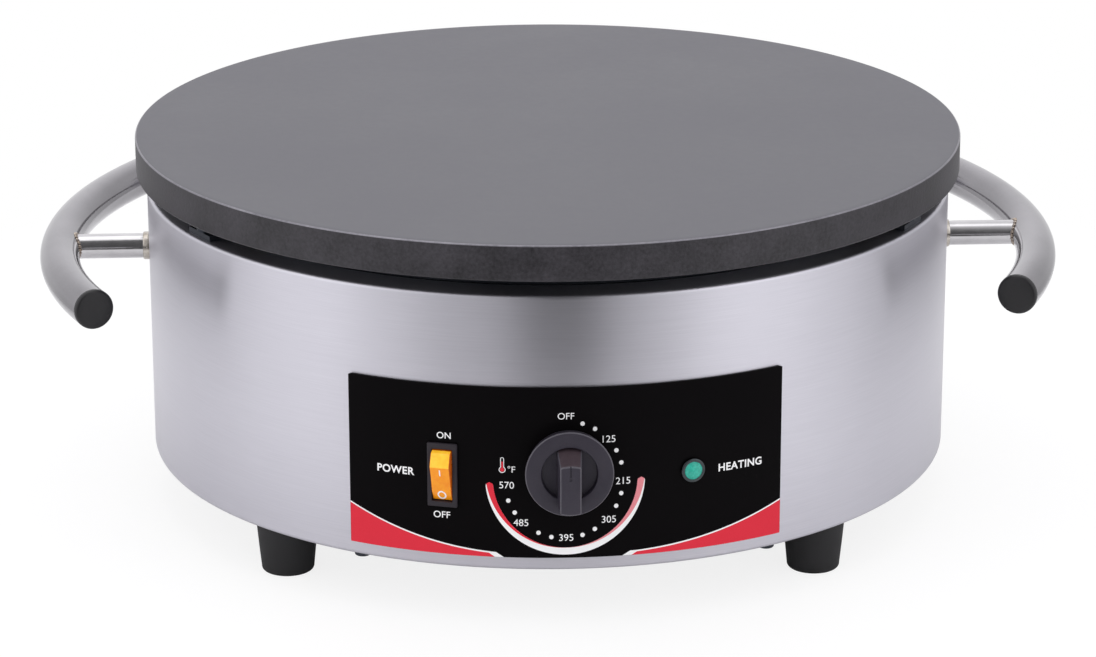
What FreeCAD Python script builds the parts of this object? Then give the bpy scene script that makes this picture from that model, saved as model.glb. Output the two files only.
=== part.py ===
"""Countertop electric crepe maker: a round cast-iron plate over a stainless drum with a carrying rail.

Millimetres, +Z up. The origin is on the drum's axis at the level that the feet stand on.
The control panel faces -Y. A bearing is an angle in degrees from -Y, positive towards +X.
"""

import FreeCAD
import Part

import math
import os

# Overall stack, from the ground up
ground_clearance = 26.5
shell_height = 130.5
plate_gap = 8.0
plate_rim_thickness = 17.0

# Cast-iron cooking plate
plate_overhang = 5.0
plate_body_thickness = 12.0
plate_rim_width = 12.0
plate_edge_radius = 1.0
stud_boss_radius = 9.0

# Stainless drum
shell_radius = 195.0
shell_wall = 1.0
shell_bend_radius = 1.8
shell_top_flange = 16.0
shell_bottom_flange = 14.0

# Base plate
base_thickness = 1.2
base_recess = 5.0
base_screw_count = 6
base_screw_inset = 4.0
base_screw_first_bearing = 30.0
base_screw_length = 6.5
bracket_screw_length = 8.0
vent_rows = 4
vent_slots_per_row = 6
vent_length = 46.0
vent_width = 5.0
vent_pitch = 12.0
vent_row_radius = 95.0

# Rubber feet, set slightly off the panel's axis
foot_count = 4
foot_inset_from_flange = 6.0
foot_clocking = -2.2
foot_top_radius = 14.5
foot_bottom_radius = 12.4
foot_edge_radius = 2.0
foot_counterbore_radius = 5.6
foot_counterbore_depth = 15.0
foot_washer_thickness = 1.0
foot_screw_end = 6.0

# Printed control panel wrapped on the drum
panel_half_angle = 30.1
panel_thickness = 1.0
panel_height = 81.3
panel_above_shell_bottom = 6.5

# Thermostat and its knob
knob_above_panel_bottom = 43.0
knob_standoff = 1.0
knob_skirt_radius = 18.8
knob_face_radius = 20.0
knob_skirt_height = 7.0
knob_edge_radius = 0.7
knob_recess_radius = 12.6
knob_recess_depth = 3.5
knob_floor_thickness = 2.0
knob_hub_radius = 5.6
grip_base_width = 11.5
grip_front_width = 9.5
grip_base_top = 12.4
grip_front_top = 7.2
grip_bottom = 16.0
grip_height = 13.2
grip_groove_width = 1.0
grip_groove_length = 4.6
grip_groove_depth = 0.5
shaft_radius = 3.0
shaft_flat_depth = 1.0
shaft_flat_length = 11.0
thermostat_width = 44.0
thermostat_body_height = 34.0
thermostat_depth = 28.0
thermostat_screw_spacing = 28.0
thermostat_screw_length = 6.0
thermostat_corner_radius = 2.0
blade_length = 8.0
blade_width = 6.2
blade_thickness = 0.8
capillary_boss_rise = 10.0
capillary_boss_offset = 14.0
capillary_clearance = 18.0
capillary_drop_end = 30.0
capillary_bend = 5.0
bushing_radius = 4.5
bushing_length = 6.0
shaft_hole_radius = 5.5

# Upright bracket that carries the thermostat
control_bracket_width = 60.0
control_bracket_height = 84.0
control_bracket_wall = 1.5
control_bracket_foot = 22.0
control_bracket_screw_spacing = 40.0

# Illuminated rocker switch
switch_bearing = -16.7
switch_above_panel_bottom = 38.4
bezel_width = 14.0
bezel_height = 30.4
bezel_thickness = 2.0
bezel_edge_radius = 0.8
housing_width = 12.2
housing_height = 28.8
housing_depth = 20.0
rocker_width = 9.2
rocker_end_radius = 12.3
rocker_ridge_offset = 6.6
rocker_ridge_height = 3.5
rocker_end_height = 0.4
rocker_dip = 0.5
rocker_body_depth = 6.0
rocker_pivot_depth = 3.0
rocker_tilt = 10.0
rocker_pin_radius = 1.2
rocker_pin_length = 0.6
rocker_end_clearance = 0.3

# Heating indicator lamp
lamp_bearing = 16.7
lamp_above_panel_bottom = 38.4
lamp_bezel_radius = 5.7
lamp_bezel_thickness = 1.6
lamp_lens_radius = 4.2
lamp_lens_rise = 1.8
lamp_body_radius = 4.6
lamp_body_length = 24.0
lamp_nut_across_flats = 14.0
lamp_nut_thickness = 3.0

# Carrying rail round the sides and the back
rail_standoff = 43.2
rail_tube_radius = 9.5
rail_wall = 1.5
rail_above_shell_bottom = 97.0
rail_front_angle = 24.5
rail_cap_thickness = 3.0
rail_cap_plug_length = 8.0
rail_cap_plug_gap = 0.2
rail_cap_edge_radius = 1.6
stub_bearings = (-90.0, 90.0, 180.0)
stub_radius = 6.0
stub_collar_radius = 6.8
stub_collar_length = 3.0
stub_collar_edge = 0.6
stub_thread_radius = 4.0
stub_thread_inside = 14.0

# Heating element, a flat spiral of half turns
element_tube_radius = 4.2
element_first_radius = 42.0
element_turn_step = 13.0
element_half_turns = 7
element_lead_bend = 12.0
element_lead_length = 18.0
element_slot_clearance = 2.4

# Element clamp, insulation and heat shield
clamp_thickness = 1.5
insulation_side_gap = 5.2
insulation_thickness = 12.0
shield_flange_gap = 2.0
shield_wall = 0.8
shield_top_clearance = 1.0
shield_window_height = 8.0
shield_window_bearings = ((-76.0, -50.0), (50.0, 76.0), (167.0, 193.0))
clamp_stud_inset = 11.0
clamp_stud_bearings = (30.0, 150.0, -90.0)
clamp_stud_radius = 4.0
clamp_stud_thread_in_plate = 8.0
clamp_stud_length = 52.0

# Plate support brackets on the drum's top flange
support_bearings = (-60.0, 60.0, 180.0)
support_width = 20.0
support_wall = 2.5
support_screw_radius = 3.0
support_tab_reach = 12.0
support_riser_inset = 1.0
support_screw_length = 9.0
support_tab_inset = 9.0

# Thermostat bulb and capillary
bulb_radius = 3.0
bulb_length = 80.0
bulb_inset = 11.0
bulb_screw_length = 6.0
bulb_clip_wall = 1.2
bulb_clip_ear = 6.5
bulb_clip_spacing = 46.0
bulb_clip_width = 8.0
capillary_radius = 0.9
capillary_hole_radius = 4.0

# Safety cut-out under the shield
cutout_x = 62.0
cutout_y = 48.0
cutout_radius = 8.0
cutout_height = 10.0
cutout_screw_spacing = 24.0
cutout_ear_thickness = 1.0

# Mains entry
gland_bearing = 150.0
gland_above_base = 24.0
gland_thread_radius = 8.0
gland_bore_radius = 4.1
gland_flats = 20.0
gland_flange_thickness = 4.0
gland_cap_radius = 9.0
gland_cap_length = 14.0
gland_thread_inside = 9.0
terminal_block_x = 60.0
terminal_block_y = 110.0
terminal_block_size = (42.0, 20.0, 16.0)
earth_stud_x = -40.0
earth_stud_y = 120.0
lead_radius = 1.6

# Fasteners, by thread radius
m3_radius = 1.5
m4_radius = 2.0
m5_radius = 2.5
stud_washer_thickness = 1.6

# Clearances between pieces
seat_gap = 0.05
running_gap = 0.05
hole_gap = 0.3
curved_gap = 0.1

# Heights worked out from the stack
shell_bottom = ground_clearance
shell_top = shell_bottom + shell_height
plate_bottom = shell_top + plate_gap
plate_top = plate_bottom + plate_rim_thickness
plate_underside = plate_top - plate_body_thickness
base_bottom = shell_bottom - base_thickness
foot_height = base_bottom
shell_inner_radius = shell_radius - shell_wall
plate_radius = shell_radius + plate_overhang
flange_opening = shell_radius - shell_bottom_flange
foot_circle_radius = flange_opening - foot_inset_from_flange
shield_radius = shell_radius - shell_top_flange - shield_flange_gap
insulation_radius = shield_radius - shield_wall - insulation_side_gap
clamp_stud_circle = insulation_radius - clamp_stud_inset
bulb_distance = insulation_radius - bulb_inset
support_riser_radius = shell_radius - shell_top_flange + support_riser_inset
support_screw_circle = support_riser_radius - support_tab_reach
support_bolt_circle = (support_riser_radius + support_wall + shell_inner_radius) / 2
rail_radius = shell_radius + rail_standoff
panel_inner_radius = shell_radius + curved_gap
panel_radius = panel_inner_radius + panel_thickness
panel_bottom = shell_bottom + panel_above_shell_bottom
knob_height = panel_bottom + knob_above_panel_bottom
switch_height = panel_bottom + switch_above_panel_bottom
lamp_height = panel_bottom + lamp_above_panel_bottom
rail_height = shell_bottom + rail_above_shell_bottom
element_height = plate_underside - seat_gap - element_tube_radius
clamp_top = element_height - element_tube_radius - seat_gap
clamp_bottom = clamp_top - clamp_thickness
insulation_top = clamp_bottom - seat_gap
insulation_bottom = insulation_top - insulation_thickness
shield_floor_top = insulation_bottom - seat_gap
shield_floor_bottom = shield_floor_top - shield_wall
shield_top = plate_bottom - shield_top_clearance
bracket_front = -math.sqrt(flange_opening ** 2 - (control_bracket_width / 2) ** 2) + hole_gap
bracket_back = bracket_front + control_bracket_wall
bearing_step = 360.0


def vec(x, y, z):
    return FreeCAD.Vector(x, y, z)


def outward(shape, bearing, radius, height):
    """Turns local X, Y, Z into the drum's tangent, up and outward directions at a bearing."""
    angle = math.radians(bearing)
    east = math.sin(angle)
    front = math.cos(angle)
    matrix = FreeCAD.Matrix(
        front, 0.0, east, radius * east,
        east, 0.0, -front, -radius * front,
        0.0, 1.0, 0.0, height,
        0.0, 0.0, 0.0, 1.0,
    )
    moved = shape.copy()
    moved.Placement = FreeCAD.Placement(matrix).multiply(moved.Placement)
    return moved


def at_bearing(bearing, radius):
    angle = math.radians(bearing)
    return radius * math.sin(angle), -radius * math.cos(angle)


def box(x_low, x_high, y_low, y_high, z_low, z_high):
    return Part.makeBox(x_high - x_low, y_high - y_low, z_high - z_low, vec(x_low, y_low, z_low))


def rod(radius, z_low, z_high, x=0.0, y=0.0):
    return Part.makeCylinder(radius, z_high - z_low, vec(x, y, z_low))


def tube(outer, inner, z_low, z_high, x=0.0, y=0.0):
    return rod(outer, z_low, z_high, x, y).cut(rod(inner, z_low, z_high, x, y))


def hexagon(across_flats, z_low, z_high, x=0.0, y=0.0):
    corner = across_flats / math.sqrt(3.0)
    points = []
    for side in range(7):
        angle = math.radians(60.0 * side)
        points.append(vec(x + corner * math.cos(angle), y + corner * math.sin(angle), z_low))
    return Part.Face(Part.makePolygon(points)).extrude(vec(0, 0, z_high - z_low))


def hex_nut(thread_radius, z_low, x=0.0, y=0.0):
    """A nut of the usual proportions: across flats 3.25 and height 1.6 thread radii."""
    nut = hexagon(3.25 * thread_radius, z_low, z_low + 1.6 * thread_radius, x, y)
    return nut.cut(rod(thread_radius + seat_gap, z_low - 1.0, z_low + 2.0 * thread_radius, x, y))


def washer(thread_radius, z_low, thickness, x=0.0, y=0.0):
    return tube(2.0 * thread_radius, thread_radius + seat_gap, z_low, z_low + thickness, x, y)


def pan_screw(thread_radius, z_head, length, x=0.0, y=0.0, head_up=True):
    """A cross-recessed pan-head screw whose head seats at z_head."""
    head_radius = 1.9 * thread_radius
    head_height = 1.2 * thread_radius
    head = rod(head_radius, 0.0, head_height)
    head = round_edges(head, 0.35 * head_height, lambda e: on_level(e, head_height))
    slot = 0.5 * thread_radius
    reach = 1.1 * thread_radius
    recess_floor = 0.45 * head_height
    for across, along in ((reach, slot / 2), (slot / 2, reach)):
        head = head.cut(box(-across, across, -along, along, recess_floor, head_height + 1.0))
    screw = head.fuse(rod(thread_radius, -length, 0.0)).removeSplitter()
    if not head_up:
        screw.rotate(vec(0, 0, 0), vec(1, 0, 0), 180.0)
    screw.translate(vec(x, y, z_head))
    return screw


def on_level(edge, z):
    bounds = edge.BoundBox
    return abs(bounds.ZMin - z) < 1e-3 and abs(bounds.ZMax - z) < 1e-3


def is_circle(edge, radius):
    return isinstance(edge.Curve, Part.Circle) and abs(edge.Curve.Radius - radius) < 1e-3


def round_edges(shape, radius, wanted):
    return shape.makeFillet(radius, [edge for edge in shape.Edges if wanted(edge)])


def revolved(points):
    """Turns a closed outline of (radius, height) points about the drum's axis."""
    outline = [vec(radius, 0.0, height) for radius, height in points]
    outline.append(outline[0])
    return Part.Face(Part.makePolygon(outline)).revolve(vec(0, 0, 0), vec(0, 0, 1), 360.0)


def sector(radius, start_bearing, end_bearing, z_low, z_high):
    """A pie slice about the drum's axis between two bearings."""
    start = vec(*at_bearing(start_bearing, radius), z_low)
    middle = vec(*at_bearing((start_bearing + end_bearing) / 2, radius), z_low)
    end = vec(*at_bearing(end_bearing, radius), z_low)
    centre = vec(0, 0, z_low)
    edges = [
        Part.LineSegment(centre, start).toShape(),
        Part.Arc(start, middle, end).toShape(),
        Part.LineSegment(end, centre).toShape(),
    ]
    return Part.Face(Part.Wire(edges)).extrude(vec(0, 0, z_high - z_low))


def rounded_path(points, bend_radius):
    """Straight runs joined by tangent arcs."""
    edges = []
    last = points[0]
    for index in range(1, len(points) - 1):
        corner = points[index]
        back = (points[index - 1] - corner).normalize()
        ahead = (points[index + 1] - corner).normalize()
        half = math.acos(max(-1.0, min(1.0, back.dot(ahead)))) / 2
        trim = bend_radius / math.tan(half)
        enter = corner + back * trim
        leave = corner + ahead * trim
        centre = corner + (back + ahead).normalize() * (bend_radius / math.sin(half))
        middle = centre + (corner - centre).normalize() * bend_radius
        edges.append(Part.LineSegment(last, enter).toShape())
        edges.append(Part.Arc(enter, middle, leave).toShape())
        last = leave
    edges.append(Part.LineSegment(last, points[-1]).toShape())
    return Part.Wire(edges)


def swept(path, radius, start, direction):
    profile = Part.Wire([Part.makeCircle(radius, start, direction)])
    return path.makePipeShell([profile], True, False)


def soft_tube(points, radius, bend_radius):
    path = rounded_path(points, bend_radius)
    return swept(path, radius, points[0], points[1] - points[0])


def element_slot(x, z_low, z_high):
    """The opening that lets an element lead pass down."""
    reach = element_tube_radius + element_slot_clearance
    return box(x - reach, x + reach, -element_lead_bend - reach, reach / 2, z_low, z_high)


def element_lead_places():
    last_radius = element_first_radius + (element_half_turns - 1) * element_turn_step
    return element_first_radius, -last_radius


def clamp_stud_places():
    places = [(0.0, 0.0)]
    for bearing in clamp_stud_bearings:
        places.append(at_bearing(bearing, clamp_stud_circle))
    return places


def capillary_place():
    return bulb_length / 2 + 12.0, -bulb_distance


def open_stack_holes(plate, z_low, z_high):
    """Cuts the stud, lead and capillary openings through a layer under the plate."""
    for x, y in clamp_stud_places():
        plate = plate.cut(rod(clamp_stud_radius + hole_gap, z_low, z_high, x, y))
    for x in element_lead_places():
        plate = plate.cut(element_slot(x, z_low, z_high))
    x, y = capillary_place()
    return plate.cut(rod(capillary_hole_radius, z_low, z_high, x, y))


def cooking_plate():
    inner = plate_radius - plate_rim_width
    plate = revolved([
        (0.0, plate_underside), (inner, plate_underside), (inner, plate_bottom),
        (plate_radius, plate_bottom), (plate_radius, plate_top), (0.0, plate_top),
    ])
    plate = round_edges(plate, plate_edge_radius, lambda e: is_circle(e, plate_radius))
    stud_top = plate_underside + clamp_stud_thread_in_plate
    for x, y in clamp_stud_places():
        plate = plate.fuse(rod(stud_boss_radius, clamp_top + seat_gap, plate_underside + 1.0, x, y))
        plate = plate.cut(rod(clamp_stud_radius + seat_gap, clamp_top, stud_top, x, y))
    for bearing in support_bearings:
        x, y = at_bearing(bearing, support_screw_circle)
        depth = clamp_stud_thread_in_plate
        hole = rod(support_screw_radius + seat_gap, plate_underside - 1.0, plate_underside + depth, x, y)
        plate = plate.cut(hole)
    for x, y in bulb_screw_places():
        depth = bulb_screw_length + seat_gap
        plate = plate.cut(rod(m4_radius + seat_gap, plate_underside - 1.0, plate_underside + depth, x, y))
    return plate


def body_shell():
    flange_in_top = shell_radius - shell_top_flange
    flange_in_bottom = shell_radius - shell_bottom_flange
    shell = revolved([
        (flange_in_bottom, shell_bottom), (shell_radius, shell_bottom),
        (shell_radius, shell_top), (flange_in_top, shell_top),
        (flange_in_top, shell_top - shell_wall), (shell_inner_radius, shell_top - shell_wall),
        (shell_inner_radius, shell_bottom + shell_wall), (flange_in_bottom, shell_bottom + shell_wall),
    ])
    shell = round_edges(shell, shell_bend_radius, lambda e: is_circle(e, shell_radius))
    inner_bend = shell_bend_radius - shell_wall
    shell = round_edges(shell, inner_bend, lambda e: is_circle(e, shell_inner_radius))
    for cutter in panel_cutters():
        shell = shell.cut(cutter)
    for bearing in stub_bearings:
        hole = rod(stub_thread_radius + hole_gap, -shell_bend_radius - 10.0, 10.0)
        shell = shell.cut(outward(hole, bearing, shell_radius, rail_height))
    gland = rod(gland_thread_radius + hole_gap, -10.0, 10.0)
    shell = shell.cut(outward(gland, gland_bearing, shell_radius, shell_bottom + gland_above_base))
    for x, y in base_screw_places():
        shell = shell.cut(rod(m4_radius + hole_gap, shell_bottom - 1.0, shell_bottom + 3.0, x, y))
    for bearing in support_bearings:
        x, y = at_bearing(bearing, support_bolt_circle)
        hole = rod(m5_radius + hole_gap, shell_top - 3.0, shell_top + 1.0, x, y)
        shell = shell.cut(hole)
    return shell


def panel_cutters():
    """The openings that the panel and the drum share."""
    half_w = housing_width / 2 + hole_gap
    half_h = housing_height / 2 + hole_gap
    switch = box(-half_w, half_w, -half_h, half_h, -15.0, 15.0)
    lamp = rod(lamp_body_radius + hole_gap, -15.0, 15.0)
    shaft = rod(shaft_hole_radius, -15.0, 15.0)
    return [
        outward(switch, switch_bearing, shell_radius, switch_height),
        outward(lamp, lamp_bearing, shell_radius, lamp_height),
        outward(shaft, 0.0, shell_radius, knob_height),
    ]


def panel_overlay():
    top = panel_bottom + panel_height
    band = sector(panel_radius, -panel_half_angle, panel_half_angle, panel_bottom, top)
    band = band.cut(rod(panel_inner_radius, panel_bottom - 1.0, top + 1.0))
    for cutter in panel_cutters():
        band = band.cut(cutter)
    return band


def base_screw_places():
    circle = shell_radius - base_recess - base_screw_inset
    step = bearing_step / base_screw_count
    return [at_bearing(base_screw_first_bearing + step * index, circle) for index in range(base_screw_count)]


def foot_places():
    step = bearing_step / foot_count
    first = step / 2 + foot_clocking
    return [at_bearing(first + step * index, foot_circle_radius) for index in range(foot_count)]


def control_bracket_screw_places():
    y = bracket_back + control_bracket_foot / 2
    half = control_bracket_screw_spacing / 2
    return [(-half, y), (half, y)]


def terminal_screw_places():
    half = terminal_block_size[0] / 2 - 4.0
    return [(terminal_block_x - half, terminal_block_y), (terminal_block_x + half, terminal_block_y)]


def base_plate():
    plate = rod(shell_radius - base_recess, base_bottom, shell_bottom)
    holes = [(place, m4_radius) for place in base_screw_places()]
    holes += [(place, m5_radius) for place in foot_places()]
    holes += [(place, m4_radius) for place in control_bracket_screw_places()]
    holes += [(place, m3_radius) for place in terminal_screw_places()]
    holes.append(((earth_stud_x, earth_stud_y), m5_radius))
    for (x, y), radius in holes:
        plate = plate.cut(rod(radius + hole_gap, base_bottom - 1.0, shell_bottom + 1.0, x, y))
    slots = []
    half_length = vent_length / 2 - vent_width / 2
    first = -(vent_slots_per_row - 1) * vent_pitch / 2
    for row in range(vent_rows):
        angle = bearing_step / vent_rows * row
        for index in range(vent_slots_per_row):
            offset = first + vent_pitch * index
            slot = box(-half_length, half_length, -vent_width / 2, vent_width / 2, 0.0, base_thickness + 2.0)
            slot = slot.fuse(rod(vent_width / 2, 0.0, base_thickness + 2.0, -half_length, 0.0))
            slot = slot.fuse(rod(vent_width / 2, 0.0, base_thickness + 2.0, half_length, 0.0))
            slot.translate(vec(0.0, -vent_row_radius + offset, base_bottom - 1.0))
            slot.rotate(vec(0, 0, 0), vec(0, 0, 1), angle)
            slots.append(slot)
    return plate.cut(slots)


def base_screws():
    screws = []
    for x, y in base_screw_places():
        screws.append(pan_screw(m4_radius, base_bottom, base_screw_length, x, y, head_up=False))
    return screws


def base_nuts():
    return [hex_nut(m4_radius, shell_bottom + shell_wall, x, y) for x, y in base_screw_places()]


def rubber_foot(x, y):
    foot = revolved([
        (0.0, 0.0), (foot_bottom_radius, 0.0), (foot_top_radius, foot_height), (0.0, foot_height),
    ])
    foot = round_edges(foot, foot_edge_radius, lambda e: is_circle(e, foot_bottom_radius))
    foot = foot.cut(rod(foot_counterbore_radius, -1.0, foot_counterbore_depth))
    foot = foot.cut(rod(m5_radius + hole_gap, 0.0, foot_height + 1.0))
    foot.translate(vec(x, y, 0.0))
    return foot


def foot_screws():
    screws = []
    for x, y in foot_places():
        head = foot_counterbore_depth - foot_washer_thickness
        length = foot_height - head + base_thickness + foot_screw_end
        screws.append(pan_screw(m5_radius, head, length, x, y, head_up=False))
    return screws


def foot_washers():
    low = foot_counterbore_depth - foot_washer_thickness
    return [washer(m5_radius, low, foot_washer_thickness, x, y) for x, y in foot_places()]


def foot_nuts():
    return [hex_nut(m5_radius, shell_bottom, x, y) for x, y in foot_places()]


def rail_path_point(bearing):
    x, y = at_bearing(bearing, rail_radius)
    return vec(x, y, rail_height)


def rail_tube(outer_radius):
    first = 90.0 - rail_front_angle
    last = bearing_step - first
    start = rail_path_point(first)
    path = Part.Wire([Part.Arc(start, rail_path_point(bearing_step / 2), rail_path_point(last)).toShape()])
    angle = math.radians(first)
    return swept(path, outer_radius, start, vec(math.cos(angle), math.sin(angle), 0.0))


def handle_rail():
    return rail_tube(rail_tube_radius).cut(rail_tube(rail_tube_radius - rail_wall))


def rail_cap(side):
    """An end cap: a domed disc with a plug that fits inside the tube."""
    plug_radius = rail_tube_radius - rail_wall - rail_cap_plug_gap
    disc = rod(rail_tube_radius, 0.0, rail_cap_thickness)
    disc = round_edges(disc, rail_cap_edge_radius, lambda e: on_level(e, rail_cap_thickness))
    cap = disc.fuse(rod(plug_radius, -rail_cap_plug_length, 0.0)).removeSplitter()
    bearing = side * (90.0 - rail_front_angle)
    x, y = at_bearing(bearing, rail_radius)
    angle = math.radians(bearing)
    facing = vec(-side * math.cos(angle), -side * math.sin(angle), 0.0)
    cap.Placement = FreeCAD.Placement(
        vec(x, y, rail_height) + facing * seat_gap,
        FreeCAD.Rotation(vec(0, 0, 1), facing),
    )
    return cap


def handle_stub(bearing):
    """A rod from the drum to the rail, coped to both, with a threaded end inside."""
    reach = rail_radius - shell_radius
    rail_clear = rail_tube(rail_tube_radius + seat_gap)
    body = rod(stub_radius, -2.0, reach)
    collar = rod(stub_collar_radius, -2.0, stub_collar_length)
    collar = round_edges(collar, stub_collar_edge, lambda e: on_level(e, stub_collar_length))
    body = outward(body.fuse(collar), bearing, shell_radius, rail_height)
    drum = rod(shell_radius + seat_gap, 0.0, plate_bottom)
    body = body.cut(drum).cut(rail_clear)
    outer = sorted(body.Solids, key=lambda solid: solid.Volume)
    thread = outward(rod(stub_thread_radius, -stub_thread_inside, 2.0), bearing, shell_radius, rail_height)
    return outer[-1].fuse(thread).removeSplitter()


def stub_fasteners(make):
    pieces = []
    washer_reach = 2.0 * stub_thread_radius
    seat = math.sqrt(shell_inner_radius ** 2 - washer_reach ** 2) - seat_gap
    for bearing in stub_bearings:
        pieces.append(outward(make(), bearing, seat, rail_height))
    return pieces


def stub_washers():
    thickness = stud_washer_thickness
    return stub_fasteners(lambda: washer(stub_thread_radius, -thickness, thickness))


def stub_nuts():
    height = 1.6 * stub_thread_radius
    return stub_fasteners(lambda: hex_nut(stub_thread_radius, -stud_washer_thickness - height))


def thermostat_knob():
    low = knob_standoff
    face = low + knob_skirt_height
    floor = face - knob_recess_depth
    under = floor - knob_floor_thickness
    skirt = Part.makeCone(knob_skirt_radius, knob_face_radius, knob_skirt_height, vec(0, 0, low))
    skirt = round_edges(skirt, knob_edge_radius, lambda e: is_circle(e, knob_face_radius))
    skirt = skirt.cut(rod(knob_recess_radius, floor, face + 1.0))
    skirt = skirt.cut(rod(knob_skirt_radius - 3.0, low - 1.0, under))
    skirt = skirt.fuse(rod(knob_hub_radius, low, floor))
    base = grip_outline(grip_base_width / 2, grip_base_top, grip_bottom, under)
    front = grip_outline(grip_front_width / 2, grip_front_top, grip_bottom, floor + grip_height)
    grip = Part.makeLoft([base, front], True, True)
    knob = skirt.fuse(grip).removeSplitter()
    top = floor + grip_height
    groove_low = grip_front_top - grip_groove_length
    half = grip_groove_width / 2
    groove = box(-half, half, groove_low, grip_front_top + 1.0, top - grip_groove_depth, top + 1.0)
    knob = knob.cut(groove)
    knob = knob.cut(rod(grip_groove_width * 0.7, top - grip_groove_depth, top + 1.0, 0.0, groove_low - 1.2))
    bore = d_shaft(shaft_radius + seat_gap / 2, low - 1.0, shaft_tip())
    return outward(knob.cut(bore), 0.0, panel_radius, knob_height)


def grip_outline(half_width, top, bottom, z):
    corners = [vec(-half_width, -bottom, z), vec(half_width, -bottom, z)]
    corners += [vec(half_width, top, z), vec(-half_width, top, z)]
    corners.append(corners[0])
    return Part.makePolygon(corners)


def shaft_tip():
    """How far the shaft reaches past the panel's face, into the grip."""
    return knob_standoff + knob_skirt_height - knob_recess_depth + grip_height * 0.6


def d_shaft(radius, z_low, z_high):
    flat_start = shaft_tip() - shaft_flat_length
    shaft = rod(radius, z_low, z_high)
    if z_high <= flat_start:
        return shaft
    level = radius - shaft_flat_depth
    return shaft.cut(box(-radius, radius, level, radius + 1.0, flat_start, z_high + 1.0))


def thermostat_shaft():
    inner = -(panel_radius + bracket_back) - 4.0
    shaft = d_shaft(shaft_radius, inner, shaft_tip() - seat_gap)
    return outward(shaft, 0.0, panel_radius, knob_height)


def thermostat_body():
    """The switch block behind the bracket, with its bushing, blades and capillary boss."""
    half = thermostat_width / 2
    half_h = thermostat_body_height / 2
    front = bracket_back + seat_gap
    back = front + thermostat_depth
    body = box(-half, half, front, back, knob_height - half_h, knob_height + half_h)
    body = round_edges(
        body, thermostat_corner_radius, lambda e: abs(e.BoundBox.ZLength - thermostat_body_height) < 1e-3,
    )
    bushing = Part.makeCylinder(bushing_radius, bushing_length, vec(0, front, knob_height), vec(0, -1, 0))
    body = body.fuse(bushing)
    for x in (-14.0, -5.0, 5.0, 14.0):
        low = knob_height - blade_length
        reach = blade_width / 2
        body = body.fuse(box(x - reach, x + reach, back, back + blade_length, low, low + blade_thickness))
    bore_front = front - bushing_length - 1.0
    bore_length = bushing_length + 6.0
    bore = Part.makeCylinder(
        shaft_radius + running_gap, bore_length, vec(0, bore_front, knob_height), vec(0, 1, 0),
    )
    body = body.cut(bore)
    for x, z in thermostat_screw_places():
        depth = thermostat_screw_length + 1.0
        body = body.cut(Part.makeCylinder(m4_radius + seat_gap, depth, vec(x, front - 1.0, z), vec(0, 1, 0)))
    return body.removeSplitter()


def thermostat_screw_places():
    half = thermostat_screw_spacing / 2
    return [(-half, knob_height), (half, knob_height)]


def thermostat_screws():
    screws = []
    for x, z in thermostat_screw_places():
        screw = pan_screw(m4_radius, 0.0, thermostat_screw_length)
        screw.rotate(vec(0, 0, 0), vec(1, 0, 0), 90.0)
        screw.translate(vec(x, bracket_front, z))
        screws.append(screw)
    return screws


def control_bracket():
    half = control_bracket_width / 2
    top = shell_bottom + control_bracket_height
    wall = control_bracket_wall
    bracket = box(-half, half, bracket_front, bracket_back, shell_bottom, top)
    foot_end = bracket_back + control_bracket_foot
    foot = box(-half, half, bracket_front, foot_end, shell_bottom, shell_bottom + wall)
    bracket = bracket.fuse(foot).removeSplitter()
    for x, y in control_bracket_screw_places():
        bracket = bracket.cut(rod(m4_radius + hole_gap, shell_bottom - 1.0, shell_bottom + 5.0, x, y))
    for x, z in thermostat_screw_places():
        hole = Part.makeCylinder(m4_radius + hole_gap, 10.0, vec(x, bracket_front - 5.0, z), vec(0, 1, 0))
        bracket = bracket.cut(hole)
    centre = vec(0, bracket_front - 5.0, knob_height)
    return bracket.cut(Part.makeCylinder(bushing_radius + hole_gap, 10.0, centre, vec(0, 1, 0)))


def control_bracket_screws():
    screws = []
    for x, y in control_bracket_screw_places():
        screws.append(pan_screw(m4_radius, base_bottom, bracket_screw_length, x, y, head_up=False))
    return screws


def control_bracket_nuts():
    level = shell_bottom + control_bracket_wall
    return [hex_nut(m4_radius, level, x, y) for x, y in control_bracket_screw_places()]


def switch_housing():
    seat = seat_gap
    face = seat + bezel_thickness
    half_w = bezel_width / 2
    half_h = bezel_height / 2
    bezel = box(-half_w, half_w, -half_h, half_h, seat, face)
    bezel = round_edges(bezel, bezel_edge_radius, lambda e: on_level(e, face))
    body = box(
        -housing_width / 2, housing_width / 2, -housing_height / 2, housing_height / 2,
        face - housing_depth, seat + 0.5,
    )
    housing = bezel.fuse(body).removeSplitter()
    housing = housing.cut(switch_pocket(face))
    pin = Part.makeCylinder(
        rocker_pin_radius + running_gap, rocker_width + 2 * rocker_pin_length + 2 * running_gap,
        vec(-rocker_width / 2 - rocker_pin_length - running_gap, 0.0, face - rocker_pivot_depth),
        vec(1, 0, 0),
    )
    housing = housing.cut(pin)
    for x in (-3.0, 3.0):
        for y in (-8.0, 8.0):
            back = face - housing_depth
            housing = housing.fuse(box(x - 0.4, x + 0.4, y - 2.4, y + 2.4, back - 8.0, back + 0.5))
    return outward(housing, switch_bearing, panel_radius, switch_height)


def switch_pocket(face):
    half_w = rocker_width / 2 + rocker_end_clearance
    half_h = rocker_end_radius + rocker_end_clearance
    swing = rocker_end_radius * math.sin(math.radians(rocker_tilt))
    depth = rocker_body_depth + swing + 1.0
    return box(-half_w, half_w, -half_h, half_h, face - depth, face + 1.0)


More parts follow.
